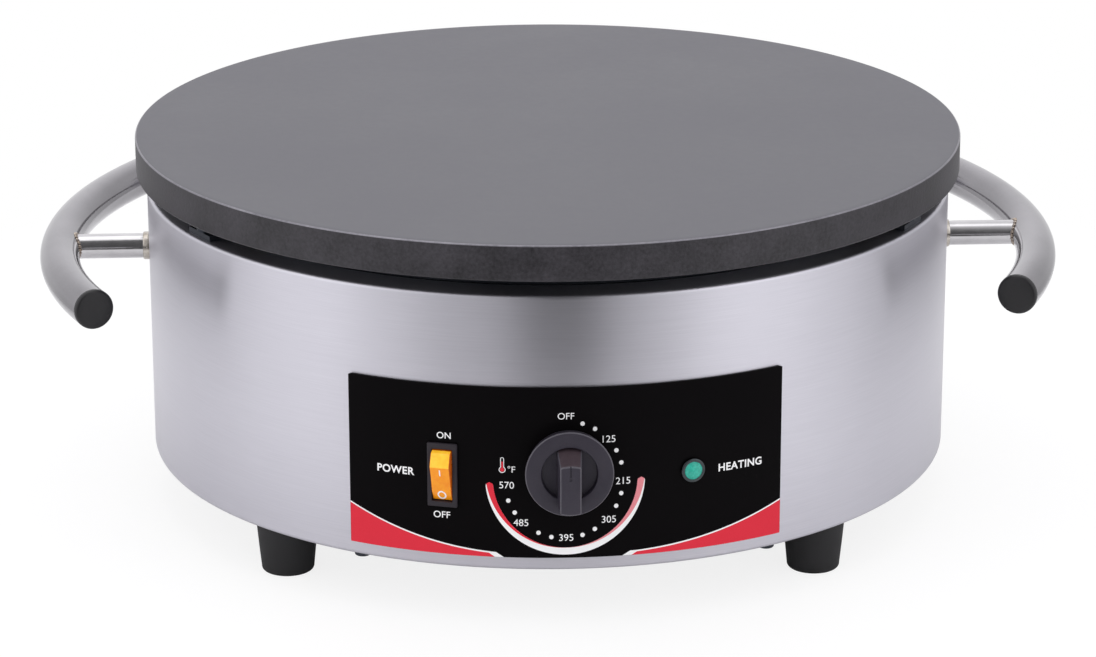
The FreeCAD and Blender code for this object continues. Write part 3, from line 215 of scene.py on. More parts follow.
class Finishes:
    """Every finish of the object."""

    ground_iron = Finish(
        "ground_iron", (0.091, 0.090, 0.104), (0.117, 0.115, 0.132), (0.38, 0.50), 4.0, 70.0, 0.0,
        "cast_iron", specular=0.35
    )
    cast_iron = Finish(
        "cast_iron_edge", (0.008, 0.007, 0.009), (0.046, 0.042, 0.050), (0.38, 0.52), 1.6, 20.0, 0.12,
        "cast_iron", specular=0.42
    )
    # Lighter finish on the plate's upward-leaning top edge rounding: a painted highlight.
    iron_edge_highlight = Finish(
        "iron_edge_painted_highlight", (0.16, 0.155, 0.175), (0.30, 0.29, 0.32), (0.26, 0.4), 2.0, 20.0, 0.01,
        "cast_iron", metallic=0.5
    )
    brushed_steel = Finish(
        "brushed_drum_steel", (0.56, 0.55, 0.60), (0.64, 0.63, 0.68), (0.30, 0.38), 0.35, 120.0, 0.002,
        "shell_steel", metallic=1.0, pattern=Pattern.AROUND
    )
    polished_steel = Finish(
        "polished_rail_steel", (0.25, 0.245, 0.255), (0.34, 0.33, 0.345), (0.06, 0.12), 0.6, 40.0, 0.003,
        "rail_steel", metallic=1.0
    )
    bright_steel = Finish(
        "bright_stub_steel", (0.56, 0.55, 0.56), (0.66, 0.65, 0.66), (0.10, 0.18), 0.6, 6.0, 0.003,
        "rail_steel", metallic=1.0
    )
    tinted_steel = Finish(
        "straw_tinted_steel", (0.44, 0.39, 0.33), (0.62, 0.59, 0.55), (0.18, 0.30), 1.0, 3.0, 0.01,
        "rail_steel", metallic=1.0
    )
    weld_steel = Finish(
        "heat_tinted_weld", (0.42, 0.33, 0.25), (0.62, 0.56, 0.50), (0.28, 0.45), 1.2, 4.0, 0.04,
        "rail_steel", metallic=1.0
    )
    panel_film = Finish(
        "panel_gloss_film", (0.0025, 0.002, 0.0024), (0.004, 0.0034, 0.0038), (0.28, 0.36), 0.6, 80.0,
        0.002, "panel_film", specular=0.03
    )
    white_ink = Finish(
        "white_ink", (0.90, 0.90, 0.90), (0.96, 0.96, 0.96), (0.4, 0.5), 0.5, 30.0, 0.002, "panel_film",
        specular=0.15
    )
    red_ink = Finish(
        "red_ink", (0.72, 0.030, 0.052), (0.78, 0.038, 0.064), (0.35, 0.45), 0.5, 60.0, 0.002, "panel_film",
        specular=0.1
    )
    pink_ink = Finish(
        "pink_ink", (0.76, 0.24, 0.27), (0.82, 0.30, 0.33), (0.35, 0.45), 0.5, 30.0, 0.002, "panel_film",
        specular=0.15
    )
    knob_plastic = Finish(
        "knob_satin_plastic", (0.028, 0.024, 0.036), (0.040, 0.035, 0.048), (0.36, 0.48), 0.5, 10.0, 0.01,
        "knob_plastic", specular=0.32
    )
    # Lighter finish on the knob's front edge and the grip's bevels: a painted highlight.
    knob_rim_highlight = Finish(
        "knob_edge_painted_highlight", (0.070, 0.065, 0.080), (0.105, 0.098, 0.116), (0.28, 0.4), 0.5, 4.0, 0.01,
        "knob_plastic"
    )
    # Lighter, browner finish on the grip's upward-facing slopes: painted light.
    knob_lit_slope = Finish(
        "knob_slope_painted_light", (0.050, 0.034, 0.042), (0.068, 0.048, 0.056), (0.36, 0.48), 0.5, 4.0, 0.01,
        "knob_plastic", specular=0.32
    )
    bezel_plastic = Finish(
        "bezel_satin_plastic", (0.018, 0.014, 0.019), (0.028, 0.023, 0.029), (0.42, 0.55), 0.4, 10.0, 0.01,
        "control_plastic", specular=0.3
    )
    # The amber rocker's emission is painted light, strongest on its upper end.
    amber = Finish(
        "amber_rocker_plastic", (0.86, 0.25, 0.006), (0.93, 0.38, 0.014), (0.16, 0.26), 2.0, 6.0, 0.01,
        "rocker_amber", transmission=0.08, subsurface=0.15, glow=0.16, specular=0.4
    )
    # Brighter, more glowing finish for the rocker's upper end: painted light.
    amber_lit_crown = Finish(
        "amber_rocker_painted_light_crown", (0.97, 0.47, 0.020), (0.99, 0.60, 0.045), (0.12, 0.2), 2.0, 4.0, 0.01,
        "rocker_amber", transmission=0.08, subsurface=0.15, glow=0.28
    )
    # Darker finish for the rocker's sides and back: painted shade.
    amber_shaded_sides = Finish(
        "amber_rocker_painted_shade", (0.62, 0.10, 0.003), (0.76, 0.17, 0.006), (0.2, 0.3), 2.0, 4.0, 0.01,
        "rocker_amber", transmission=0.08, glow=0.05
    )
    green_lens = Finish(
        "green_lens_plastic", (0.010, 0.33, 0.25), (0.05, 0.62, 0.47), (0.12, 0.22), 0.8, 2.0, 0.04,
        "lamp_green", transmission=0.2, glow=0.08
    )
    dark_chrome = Finish(
        "dark_chrome", (0.045, 0.052, 0.056), (0.085, 0.095, 0.10), (0.12, 0.22), 0.8, 4.0, 0.003,
        "lamp_chrome", metallic=1.0
    )
    rubber = Finish(
        "foot_rubber", (0.006, 0.006, 0.007), (0.012, 0.011, 0.012), (0.55, 0.75), 0.7, 10.0, 0.03,
        "foot_rubber"
    )
    cap_plastic = Finish(
        "cap_satin_plastic", (0.005, 0.005, 0.006), (0.010, 0.009, 0.011), (0.38, 0.5), 0.6, 8.0, 0.01,
        "cap_plastic"
    )
    # Dark bluish steel for the parts under the plate and the drum.
    dark_steel = Finish(
        "dark_bluish_steel", (0.022, 0.026, 0.034), (0.05, 0.056, 0.068), (0.35, 0.5), 1.5, 30.0, 0.01,
        metallic=0.7
    )
    zinc_sheet = Finish(
        "zinc_sheet", (0.42, 0.42, 0.43), (0.58, 0.58, 0.60), (0.35, 0.55), 3.0, 12.0, 0.01, metallic=0.9
    )
    bright_zinc = Finish(
        "bright_zinc_fastener", (0.55, 0.55, 0.57), (0.75, 0.75, 0.77), (0.2, 0.35), 1.0, 5.0, 0.01,
        metallic=1.0
    )
    element_sheath = Finish(
        "element_sheath", (0.10, 0.085, 0.075), (0.22, 0.18, 0.15), (0.4, 0.6), 2.0, 20.0, 0.02,
        metallic=0.8
    )
    ceramic_fibre = Finish(
        "ceramic_fibre", (0.72, 0.70, 0.66), (0.86, 0.85, 0.81), (0.85, 0.95), 1.2, 10.0, 0.1, sheen=0.2
    )
    copper = Finish(
        "drawn_copper", (0.60, 0.27, 0.15), (0.78, 0.42, 0.27), (0.25, 0.4), 1.0, 10.0, 0.01, metallic=1.0
    )
    moulded_plastic = Finish(
        "moulded_control_plastic", (0.03, 0.03, 0.032), (0.055, 0.054, 0.057), (0.45, 0.6), 0.6, 10.0, 0.02
    )
    terminal_plastic = Finish(
        "terminal_cream_plastic", (0.72, 0.70, 0.62), (0.80, 0.78, 0.71), (0.4, 0.5), 0.8, 10.0, 0.01
    )
    lead_sleeve = Finish(
        "lead_sleeve", (0.30, 0.035, 0.03), (0.42, 0.06, 0.05), (0.55, 0.7), 0.5, 8.0, 0.04
    )


def arc(centre: Point, radius: float, start: float, end: float, steps: int) -> list[Point]:
    """Points of an arc, ends included.

    Args:
        centre: Centre of the arc.
        radius: Its radius.
        start: First angle in degrees.
        end: Last angle in degrees.
        steps: Number of steps.

    Returns:
        The points.
    """
    turns = [math.radians(start + (end - start) * step / steps) for step in range(steps + 1)]
    return [(centre[0] + radius * math.cos(turn), centre[1] + radius * math.sin(turn)) for turn in turns]


def ring(shape: Shape, steps: int, at: Callable[[float], Sequence[float]]) -> Loop:
    """Adds a ring of points to a bmesh, each at the place that belongs to its turn in radians."""
    return [shape.verts.new(at(math.tau * step / steps)) for step in range(steps)]


def loft(shape: Shape, loops: Sequence[Loop], closed: bool = True, caps: bool = True) -> None:
    """Joins rows of points with faces.

    Args:
        shape: The bmesh.
        loops: Rows with the same number of points.
        closed: Whether each row is a ring.
        caps: Whether the first and the last row are filled.
    """
    count = len(loops[0])
    for first, second in zip(loops, loops[1:]):
        for index in range(count if closed else count - 1):
            after = (index + 1) % count
            shape.faces.new((first[index], first[after], second[after], second[index]))
    if caps:
        shape.faces.new(list(reversed(loops[0])))
        shape.faces.new(loops[-1])


def outward(bearing: float, radius: float, height: float) -> Matrix:
    """The frame whose X is the drum's tangent, Y is up and Z points outward.

    Args:
        bearing: Bearing in degrees.
        radius: Distance from the drum's axis.
        height: Height above the ground.

    Returns:
        The matrix of that frame.
    """
    east = math.sin(math.radians(bearing))
    front = math.cos(math.radians(bearing))
    return Matrix((
        (front, 0.0, east, radius * east),
        (east, 0.0, -front, -radius * front),
        (0.0, 1.0, 0.0, height),
        (0.0, 0.0, 0.0, 1.0),
    ))


def span(node: str, axis: int) -> float:
    """Extent of a node along an axis."""
    low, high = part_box(node)
    return high[axis] - low[axis]


def middle(node: str) -> Vector:
    """Centre of a node's box."""
    low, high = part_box(node)
    return (low + high) / 2


def film_radius() -> float:
    """Radius of the control panel's face."""
    return -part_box("panel_overlay")[0].y


@dataclass
class Workshop:
    """Shared tools that make meshes and hand pieces over to the frame.

    Attributes:
        made: The materials built so far, by name.
    """

    made: dict[str, Material] = field(default_factory=dict)

    def material(self, finish: Finish) -> Material:
        """Gives the material of a finish, built on first use.

        Args:
            finish: The finish.

        Returns:
            The material.
        """
        if finish.name not in self.made:
            self.made[finish.name] = finish.build()
        return self.made[finish.name]

    def object_from(self, name: str, data: bpy.types.ID) -> Piece:
        """Links data as an object at the origin.

        Args:
            name: Name of the object.
            data: Its mesh, text, lamp or camera.

        Returns:
            The object.
        """
        piece = bpy.data.objects.new(name, data)
        bpy.context.scene.collection.objects.link(piece)
        return piece

    def mesh_from(self, name: str, shape: Shape) -> bpy.types.Mesh:
        """Turns a bmesh into a mesh.

        Args:
            name: Name of the mesh.
            shape: The bmesh, which is freed.

        Returns:
            The mesh.
        """
        mesh = bpy.data.meshes.new(name)
        shape.to_mesh(mesh)
        shape.free()
        return mesh

    def smooth(self, mesh: bpy.types.Mesh, sharp: float = 40.0) -> None:
        """Shades a mesh smooth, with creases past an angle in degrees."""
        mesh.shade_smooth()
        mesh.set_sharp_from_angle(angle=math.radians(sharp))

    def from_bmesh(
        self, name: str, shape: Shape, sharp: float = 40.0, place: Optional[Matrix] = None
    ) -> Piece:
        """Turns a bmesh into a smooth-shaded object with sharp creases.

        Args:
            name: Name of the piece.
            shape: The bmesh, which is freed.
            sharp: Crease angle in degrees.
            place: Where the local frame goes.

        Returns:
            The linked object.
        """
        if place is not None:
            bmesh.ops.transform(shape, matrix=place, verts=shape.verts)
        bmesh.ops.remove_doubles(shape, verts=shape.verts, dist=1e-7)
        bmesh.ops.recalc_face_normals(shape, faces=shape.faces)
        mesh = self.mesh_from(name, shape)
        self.smooth(mesh, sharp)
        return self.object_from(name, mesh)

    def lathe(
        self, name: str, outline: Sequence[Point], steps: int, sharp: float = 40.0,
        place: Optional[Matrix] = None,
    ) -> Piece:
        """Turns a closed outline about the local Z axis.

        Args:
            name: Name of the piece.
            outline: (radius, height) points of the closed outline, in metres.
            steps: Number of steps round the axis.
            sharp: Crease angle in degrees.
            place: Where the local frame goes.

        Returns:
            The turned piece.
        """
        shape = bmesh.new()
        rings = [
            ring(
                shape, steps if out > 1e-9 else 1,
                lambda turn: (out * math.cos(turn), out * math.sin(turn), height),
            )
            for out, height in outline
        ]
        for first, second in zip(rings, rings[1:] + rings[:1]):
            for step in range(steps):
                after = (step + 1) % steps
                corners = [first[step % len(first)], first[after % len(first)]]
                corners += [second[after % len(second)], second[step % len(second)]]
                unique = list(dict.fromkeys(corners))
                if len(unique) > 2:
                    shape.faces.new(unique)
        return self.from_bmesh(name, shape, sharp, place)

    def block(self, name: str, low: Sequence[float], high: Sequence[float]) -> Piece:
        """A box between two corners, used as a blank or a cutter.

        Args:
            name: Name of the piece.
            low: Lowest corner.
            high: Highest corner.

        Returns:
            The box.
        """
        shape = bmesh.new()
        bmesh.ops.create_cube(shape, size=1.0)
        for vert in shape.verts:
            vert.co = Vector(low[i] + (vert.co[i] + 0.5) * (high[i] - low[i]) for i in range(3))
        return self.from_bmesh(name, shape)

    def evaluated(self, piece: Piece, sharp: float = 40.0) -> None:
        """Applies a piece's modifiers and shades the result.

        Args:
            piece: The piece.
            sharp: Crease angle in degrees.
        """
        graph = bpy.context.evaluated_depsgraph_get()
        mesh = bpy.data.meshes.new_from_object(piece.evaluated_get(graph))
        piece.modifiers.clear()
        piece.data = mesh
        self.smooth(mesh, sharp)

    def bevelled(self, piece: Piece, width: float, segments: int = 3, material: int = -1) -> None:
        """Rounds a piece's sharp edges.

        Args:
            piece: The piece.
            width: Width of the rounding, in metres.
            segments: Number of steps in it.
            material: Index of the material of the rounding, -1 for that of the faces beside it.
        """
        modifier = piece.modifiers.new("round", "BEVEL")
        modifier.width = width
        modifier.segments = segments
        modifier.limit_method = "ANGLE"
        modifier.angle_limit = math.radians(30.0)
        modifier.harden_normals = False
        modifier.material = material
        self.evaluated(piece, 50.0)

    def combine(self, piece: Piece, tool: Piece, operation: str = "DIFFERENCE") -> None:
        """Cuts a tool's volume from a piece, or joins it on.

        Args:
            piece: The piece.
            tool: The tool, which is removed.
            operation: The Boolean operation.
        """
        modifier = piece.modifiers.new("combine", "BOOLEAN")
        modifier.operation = operation
        modifier.object = tool
        modifier.solver = "EXACT"
        self.evaluated(piece)
        bpy.data.objects.remove(tool)

    def paint(self, piece: Piece, finishes: Iterable[Finish], pick: Callable[[Face], int]) -> None:
        """Gives a piece several finishes.

        Args:
            piece: The piece.
            finishes: The finishes.
            pick: The number of a face's finish.
        """
        for finish in finishes:
            piece.data.materials.append(self.material(finish))
        for face in piece.data.polygons:
            face.material_index = pick(face)

    def hand_over(
        self, piece: Piece, finish: Finish, body: Body = Body.BASE, nodes: Iterable[str] = ()
    ) -> None:
        """Dresses a piece and gives it to a body.

        Args:
            piece: The finished piece.
            finish: Its finish.
            body: The body that it rides on.
            nodes: Frame nodes that it stands for.
        """
        if not piece.data.materials:
            piece.data.materials.append(self.material(finish))
        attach(piece, body.value)
        names = list(nodes)
        if names:
            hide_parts(*names)
        LOG.info("%s rides on %s, %d faces", piece.name, body.value, len(piece.data.polygons))

    def dress_nodes(self, finish: Finish, names: Iterable[str]) -> None:
        """Gives frame nodes a finish.

        Args:
            finish: The finish.
            names: The nodes.
        """
        for name in names:
            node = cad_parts[name]
            node.data.materials.clear()
            node.data.materials.append(self.material(finish))
            LOG.info("node %s wears %s", name, finish.name)


class Rule(Wiring):
    """A geometry node tree with named inputs that sets copies of a unit."""

    def __init__(self, name: str, *inputs: str) -> None:
        """Starts a tree.

        Args:
            name: Name of the tree.
            inputs: Names of its inputs, of which Count is whole.
        """
        super().__init__(bpy.data.node_groups.new(name, "GeometryNodeTree"))
        face = self.tree.interface
        face.new_socket("Geometry", in_out="OUTPUT", socket_type="NodeSocketGeometry")
        source = self.add("NodeGroupInput")
        self.sockets: dict[str, str] = {}
        for key in inputs:
            kind = "NodeSocketInt" if key == "Count" else "NodeSocketFloat"
            self.sockets[key] = face.new_socket(key, in_out="INPUT", socket_type=kind).identifier
        self.given = [source.outputs[key] for key in inputs]

    def copy_to(
        self, points: Socket, unit: Piece, material: Material, rotation: Optional[Socket] = None
    ) -> None:
        """Ends the tree in real copies of a unit on points.

        Args:
            points: The points.
            unit: The piece to copy, in its own frame.
            material: What the copies are made of.
            rotation: How each copy is turned.
        """
        info = self.add("GeometryNodeObjectInfo", {"Object": unit})
        inputs = {"Points": points, "Instance": info.outputs["Geometry"]}
        if rotation is not None:
            inputs["Rotation"] = rotation
        copies = self.add("GeometryNodeInstanceOnPoints", inputs)
        real = self.add("GeometryNodeRealizeInstances", {"Geometry": copies.outputs["Instances"]})
        dressed = {"Geometry": real.outputs["Geometry"], "Material": material}
        paint = self.add("GeometryNodeSetMaterial", dressed)
        self.add("NodeGroupOutput", {"Geometry": paint.outputs["Geometry"]})

    def run(self, shop: Workshop, name: str, values: dict[str, float]) -> Piece:
        """Evaluates the tree into a plain mesh.

        Args:
            shop: The workshop.
            name: Name of the piece.
            values: Value of each named input.

        Returns:
            The piece, with no modifier left.
        """
        piece = shop.object_from(name, bpy.data.meshes.new(name))
        modifier = piece.modifiers.new("rule", "NODES")
        modifier.node_group = self.tree
        for key, value in values.items():
            modifier[self.sockets[key]] = value
        shop.evaluated(piece)
        return piece


@dataclass
class Assembly:
    """A sub-assembly of the object.

    Attributes:
        shop: The workshop that makes its meshes.
    """

    shop: Workshop

    def build(self) -> None:
        """Makes and dresses every piece."""
        raise NotImplementedError

    def ring_of(
        self, name: str, unit: Piece, finish: Finish, count: int, radius: float, first: float = 0.0
    ) -> Piece:
        """Sets copies of a unit on a circle round Z, each turned to face out.

        Args:
            name: Name of the piece.
            unit: The piece to copy, which is removed.
            finish: What the copies are made of.
            count: Number of copies.
            radius: Radius of the circle.
            first: Turn of the first copy, in radians.

        Returns:
            The copies as one piece.
        """
        rule = Rule(name + "_ring", "Count", "Radius", "First")
        many, out, start = rule.given
        circle = rule.add("GeometryNodeMeshCircle", {"Vertices": many, "Radius": out})
        index = rule.add("GeometryNodeInputIndex").outputs[0]
        turn = rule.compute("MULTIPLY_ADD", index, rule.compute("DIVIDE", math.tau, many), start)
        spin, whole = (rule.add("ShaderNodeCombineXYZ", {"Z": angle}).outputs[0] for angle in (turn, start))
        moved = rule.add("GeometryNodeTransform", {"Geometry": circle.outputs["Mesh"], "Rotation": whole})
        rule.copy_to(moved.outputs["Geometry"], unit, self.shop.material(finish), spin)
        piece = rule.run(self.shop, name, {"Count": count, "Radius": radius, "First": first})
        bpy.data.objects.remove(unit)
        return piece


@dataclass
class CookingPlate(Assembly):
    """The cast-iron plate: ground top, coated edge and a recess underneath.

    Attributes:
        edge: Radius of the edge rounding.
        rim_width: Width of the rim under the plate.
        body: Thickness of the plate inside the rim.
        rim: Thickness at the rim.
        allowance: How far the points stand out, since the flats between them fall inside the circle.
    """

    edge: float = 1.0 * MM
    rim_width: float = 12.0 * MM
    body: float = 12.0 * MM
    rim: float = 17.0 * MM
    allowance: float = 0.04 * MM

    def build(self) -> None:
        """Makes and dresses the plate."""
        radius = span("cooking_plate", 1) / 2 + self.allowance
        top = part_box("cooking_plate")[1].z
        low = top - self.rim
        inner = radius - self.rim_width
        outline: list[Point] = [(0.0, top - self.body), (inner, top - self.body), (inner, low)]
        outline += arc((radius - self.edge, low + self.edge), self.edge, -90.0, 0.0, 5)
        outline += arc((radius - self.edge, top - self.edge), self.edge, 0.0, 90.0, 5)
        outline += [(radius * share, top) for share in (0.98, 0.9, 0.7, 0.4, 0.15, 0.0)]
        plate = self.shop.lathe("cooking_plate_iron", outline, 384, 60.0)
        # Faces that lean upward, the top edge rounding, get the lighter edge finish: a painted highlight.
        finishes = (Finishes.cast_iron, Finishes.ground_iron, Finishes.iron_edge_highlight)
        level, leaning = 0.95, 0.45
        self.shop.paint(
            plate, finishes,
            lambda face: 1 if face.normal.z > level else 2 if face.normal.z > leaning else 0,
        )
        self.shop.hand_over(plate, Finishes.cast_iron, nodes=["cooking_plate"])


@dataclass
class Drum(Assembly):
    """The stainless drum with its turned-in flanges and the seam at the back.

    Attributes:
        wall: Sheet thickness.
        bend: Outer bend radius.
        top_flange: Width of the upper flange.
        bottom_flange: Width of the lower flange.
        seam_width: Width of the welded seam.
        seam_height: How far the seam stands proud.
        seam_turn: How far the seam is off the middle of the back, in degrees.
    """

    wall: float = 1.0 * MM
    bend: float = 1.8 * MM
    top_flange: float = 16.0 * MM
    bottom_flange: float = 14.0 * MM
    seam_width: float = 2.4 * MM
    seam_height: float = 0.15 * MM
    seam_turn: float = 16.0

    def build(self) -> None:
        """Makes and dresses the drum."""
        corner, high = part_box("body_shell")
        radius = (high.y - corner.y) / 2
        low, top = corner.z, high.z
        below = (radius - self.bend, low + self.bend)
        above = (radius - self.bend, top - self.bend)
        inner = self.bend - self.wall
        outline: list[Point] = [(radius - self.bottom_flange, low)]
        outline += arc(below, self.bend, -90.0, 0.0, 6) + arc(above, self.bend, 0.0, 90.0, 6)
        outline += [(radius - self.top_flange, top), (radius - self.top_flange, top - self.wall)]
        outline += arc(above, inner, 90.0, 0.0, 3) + arc(below, inner, 0.0, -90.0, 3)
        outline.append((radius - self.bottom_flange, low + self.wall))
        drum = self.shop.lathe("drum_sheet", outline, 384, 50.0)
        self.shop.hand_over(drum, Finishes.brushed_steel, nodes=["body_shell"])
        self.seam(radius, below[1], above[1])

    def seam(self, radius: float, low: float, high: float) -> None:
        """Makes the ground weld down the back of the drum.

        Args:
            radius: The drum's outer radius.
            low: Lower end.
            high: Upper end.
        """
        half = self.seam_width / 2
        shape = bmesh.new()
        rows = 60
        loops = []
        for row in range(rows + 1):
            height = low + (high - low) * row / rows
            wave = 1.0 + 0.12 * math.sin(row * 2.3)
            loops.append([
                shape.verts.new((half * across * wave, radius + self.seam_height * lift * wave, height))
                for across, lift in ((-1.0, -0.2), (-0.5, 0.7), (0.0, 1.0), (0.5, 0.7), (1.0, -0.2))
            ])
        loft(shape, loops)
        turn = Matrix.Rotation(math.radians(self.seam_turn), 4, "Z")
        self.shop.hand_over(self.shop.from_bmesh("drum_seam", shape, place=turn), Finishes.brushed_steel)


@dataclass
class CarryingRail(Assembly):
    """The tube round the sides and the back, its stubs, welds and end caps.

    Attributes:
        tube: Tube radius.
        wall: Tube wall.
        front_angle: How far the rail reaches forward of the sides, in degrees.
        stub: Stub radius.
        collar: Collar radius on the drum.
        collar_length: Collar length.
        collar_edge: Edge rounding of the collar.
        bead: Radius of the weld bead.
        bead_count: Ripples round each weld.
        cap_length: Thickness of an end cap.
        cap_edge: Edge rounding of an end cap.
        cap_crown: How far an end cap is domed.
        plug: Length of an end cap's plug.
    """

    tube: float = 9.5 * MM
    wall: float = 1.5 * MM
    front_angle: float = 24.5
    stub: float = 6.0 * MM
    collar: float = 6.8 * MM
    collar_length: float = 3.0 * MM
    collar_edge: float = 0.6 * MM
    bead: float = 0.9 * MM
    bead_count: int = 22
    cap_length: float = 3.0 * MM
    cap_edge: float = 1.6 * MM
    cap_crown: float = 0.35 * MM
    plug: float = 8.0 * MM

    def __post_init__(self) -> None:
        """Reads the rail's circle from the frame."""
        self.radius = span("handle_rail", 0) / 2 - self.tube
        self.height = middle("handle_rail").z
        self.drum = span("body_shell", 1) / 2
        self.reach = self.radius - self.drum

    def build(self) -> None:
        """Makes and dresses the whole rail."""
        self.rail()
        for side, name in ((-1.0, "left"), (1.0, "right")):
            self.cap(side, "rail_cap_" + name)
        for bearing, name in ((-90.0, "left"), (90.0, "right"), (180.0, "rear")):
            place = outward(bearing, self.drum, self.height)
            self.rod(place, "handle_stub_" + name)
            self.weld(place, "handle_stub_" + name)

    def face(self, up: float) -> float:
        """Distance of the tube's face from the stub's foot, at a height over the tube's axis."""
        return self.reach - math.sqrt(self.tube ** 2 - min(self.tube, abs(up)) ** 2)

    def rail(self) -> None:
        """Makes the bent tube, open at both ends as the caps need it."""
        start = math.radians(90.0 - self.front_angle)
        steps = 220
        shape = bmesh.new()
        shells = []

        def at(turn: float) -> tuple[float, float, float]:
            """A point of the tube's section at the bearing."""
            out = self.radius + radius * math.cos(turn)
            return out * math.sin(bearing), -out * math.cos(bearing), self.height + radius * math.sin(turn)

        for radius in (self.tube, self.tube - self.wall):
            loops = []
            for step in range(steps + 1):
                bearing = start + (math.tau - 2 * start) * step / steps
                loops.append(ring(shape, 40, at))
            loft(shape, loops, caps=False)
            shells.append(loops)
        for end in (0, -1):
            loft(shape, [loops[end] for loops in shells], caps=False)
        piece = self.shop.from_bmesh("rail_tube", shape)
        self.shop.hand_over(piece, Finishes.polished_steel, nodes=["handle_rail"])

    def cap(self, side: float, node: str) -> None:
        """Makes one end cap with its plug.

        Args:
            side: -1 on the left, 1 on the right.
            node: The frame node it stands for.
        """
        bearing = math.radians(side * (90.0 - self.front_angle))
        facing = Vector((-side * math.cos(bearing), -side * math.sin(bearing), 0.0))
        centre = Vector((self.radius * math.sin(bearing), -self.radius * math.cos(bearing), self.height))
        turn = facing.to_track_quat("Z", "Y").to_matrix().to_4x4()
        place = Matrix.Translation(centre + facing * SEAT) @ turn
        soft = 0.2 * MM
        plug = self.tube - self.wall - soft
        top = self.cap_length
        outline: list[Point] = [(0.0, -self.plug), (plug, -self.plug), (plug, 0.0), (self.tube - soft, 0.0)]
        outline.append((self.tube, soft))
        corner = (self.tube - self.cap_edge, top - self.cap_crown - self.cap_edge)
        outline += arc(corner, self.cap_edge, 0.0, 80.0, 6)
        outline += [(self.tube * 0.5, top - self.cap_crown * 0.25), (0.0, top)]
        self.shop.hand_over(
            self.shop.lathe(node + "_moulding", outline, 48, 45.0, place), Finishes.cap_plastic, nodes=[node]
        )

    def rod(self, place: Matrix, node: str) -> None:
        """Makes a stub whose ends follow the drum and the rail.

        Args:
            place: The stub's frame.
            node: The frame node it stands for.
        """
        soft = self.collar_edge
        end = self.collar_length
        rings = [(self.collar, 0.0), (self.collar, end - soft), (self.collar - 0.3 * soft, end - 0.3 * soft)]
        rings += [(self.collar - soft, end), (self.stub, end)]
        rings += [(self.stub, self.reach * share) for share in (0.4, 0.6, 1.0)]
        around = 48
        collar_faces = 4 * around
        shape = bmesh.new()

        def at(turn: float) -> tuple[float, float, float]:
            """Gives a point of the stub, on the drum in the first ring and on the rail in the last.

            Args:
                turn: Turn round the stub.

            Returns:
                The point.
            """
            across, up = radius * math.cos(turn), radius * math.sin(turn)
            if out == 0.0:
                return across, up, math.sqrt(self.drum ** 2 - across ** 2) - self.drum
            return across, up, self.face(up) if out == self.reach else out

        loops = []
        for radius, out in rings:
            loops.append(ring(shape, around, at))
        loft(shape, loops)
        piece = self.shop.from_bmesh(node + "_rod", shape, place=place)
        finishes = (Finishes.bright_steel, Finishes.tinted_steel)
        self.shop.paint(piece, finishes, lambda face: int(face.index < collar_faces))
        self.shop.hand_over(piece, Finishes.bright_steel, nodes=[node])

    def weld(self, place: Matrix, node: str) -> None:
        """Lays the rippled weld where a stub meets the rail.

        Args:
            place: The stub's frame.
            node: Name of the stub's node.
        """
        shape = bmesh.new()
        bmesh.ops.create_uvsphere(shape, u_segments=10, v_segments=6, radius=self.bead)
        unit = self.shop.from_bmesh("weld_ripple", shape)
        piece = self.ring_of(node + "_weld", unit, Finishes.weld_steel, self.bead_count, self.stub + 0.1 * MM)
        for vert in piece.data.vertices:
            vert.co.z += self.face(vert.co.y) - 0.2 * MM
        piece.data.transform(place)
        self.shop.hand_over(piece, Finishes.weld_steel)


@dataclass
class Feet(Assembly):
    """Four tapered rubber feet with their screw wells.

    Attributes:
        top: Radius at the base plate.
        bottom: Radius at the ground.
        edge: Rounding of the lower edge.
        well: Radius of the screw well.
        well_depth: Depth of the well.
        bore: Radius of the screw's bore.
        clocking: Turn of the feet against the panel, in degrees.
        count: Number of feet.
    """

    top: float = 14.5 * MM
    bottom: float = 12.4 * MM
    edge: float = 2.0 * MM
    well: float = 5.6 * MM
    well_depth: float = 15.0 * MM
    bore: float = 2.8 * MM
    clocking: float = -2.2
    count: int = 4

    def build(self) -> None:
        """Makes one foot and sets four of them by a rule."""
        height = span("foot_1", 2)
        soft, corner = 0.6 * MM, 0.4 * MM
        outline: list[Point] = [(self.well, 0.0)]
        outline += arc((self.bottom - self.edge, self.edge), self.edge, -90.0, 5.0, 7)
        outline += [((self.bottom + self.top) / 2, height / 2)]
        outline += [(self.top, height - soft), (self.top - soft, height)]
        outline += [(self.bore, height), (self.bore, self.well_depth)]
        outline += [(self.well - corner, self.well_depth), (self.well, self.well_depth - corner)]
        unit = self.shop.lathe("foot_moulding", outline, 72, 45.0)
        first = math.radians(180.0 / self.count + self.clocking - 90.0)
        circle = middle("foot_1").xy.length
        piece = self.ring_of("rubber_feet", unit, Finishes.rubber, self.count, circle, first)
        names = [f"foot_{index + 1}" for index in range(self.count)]
        self.shop.hand_over(piece, Finishes.rubber, nodes=names)


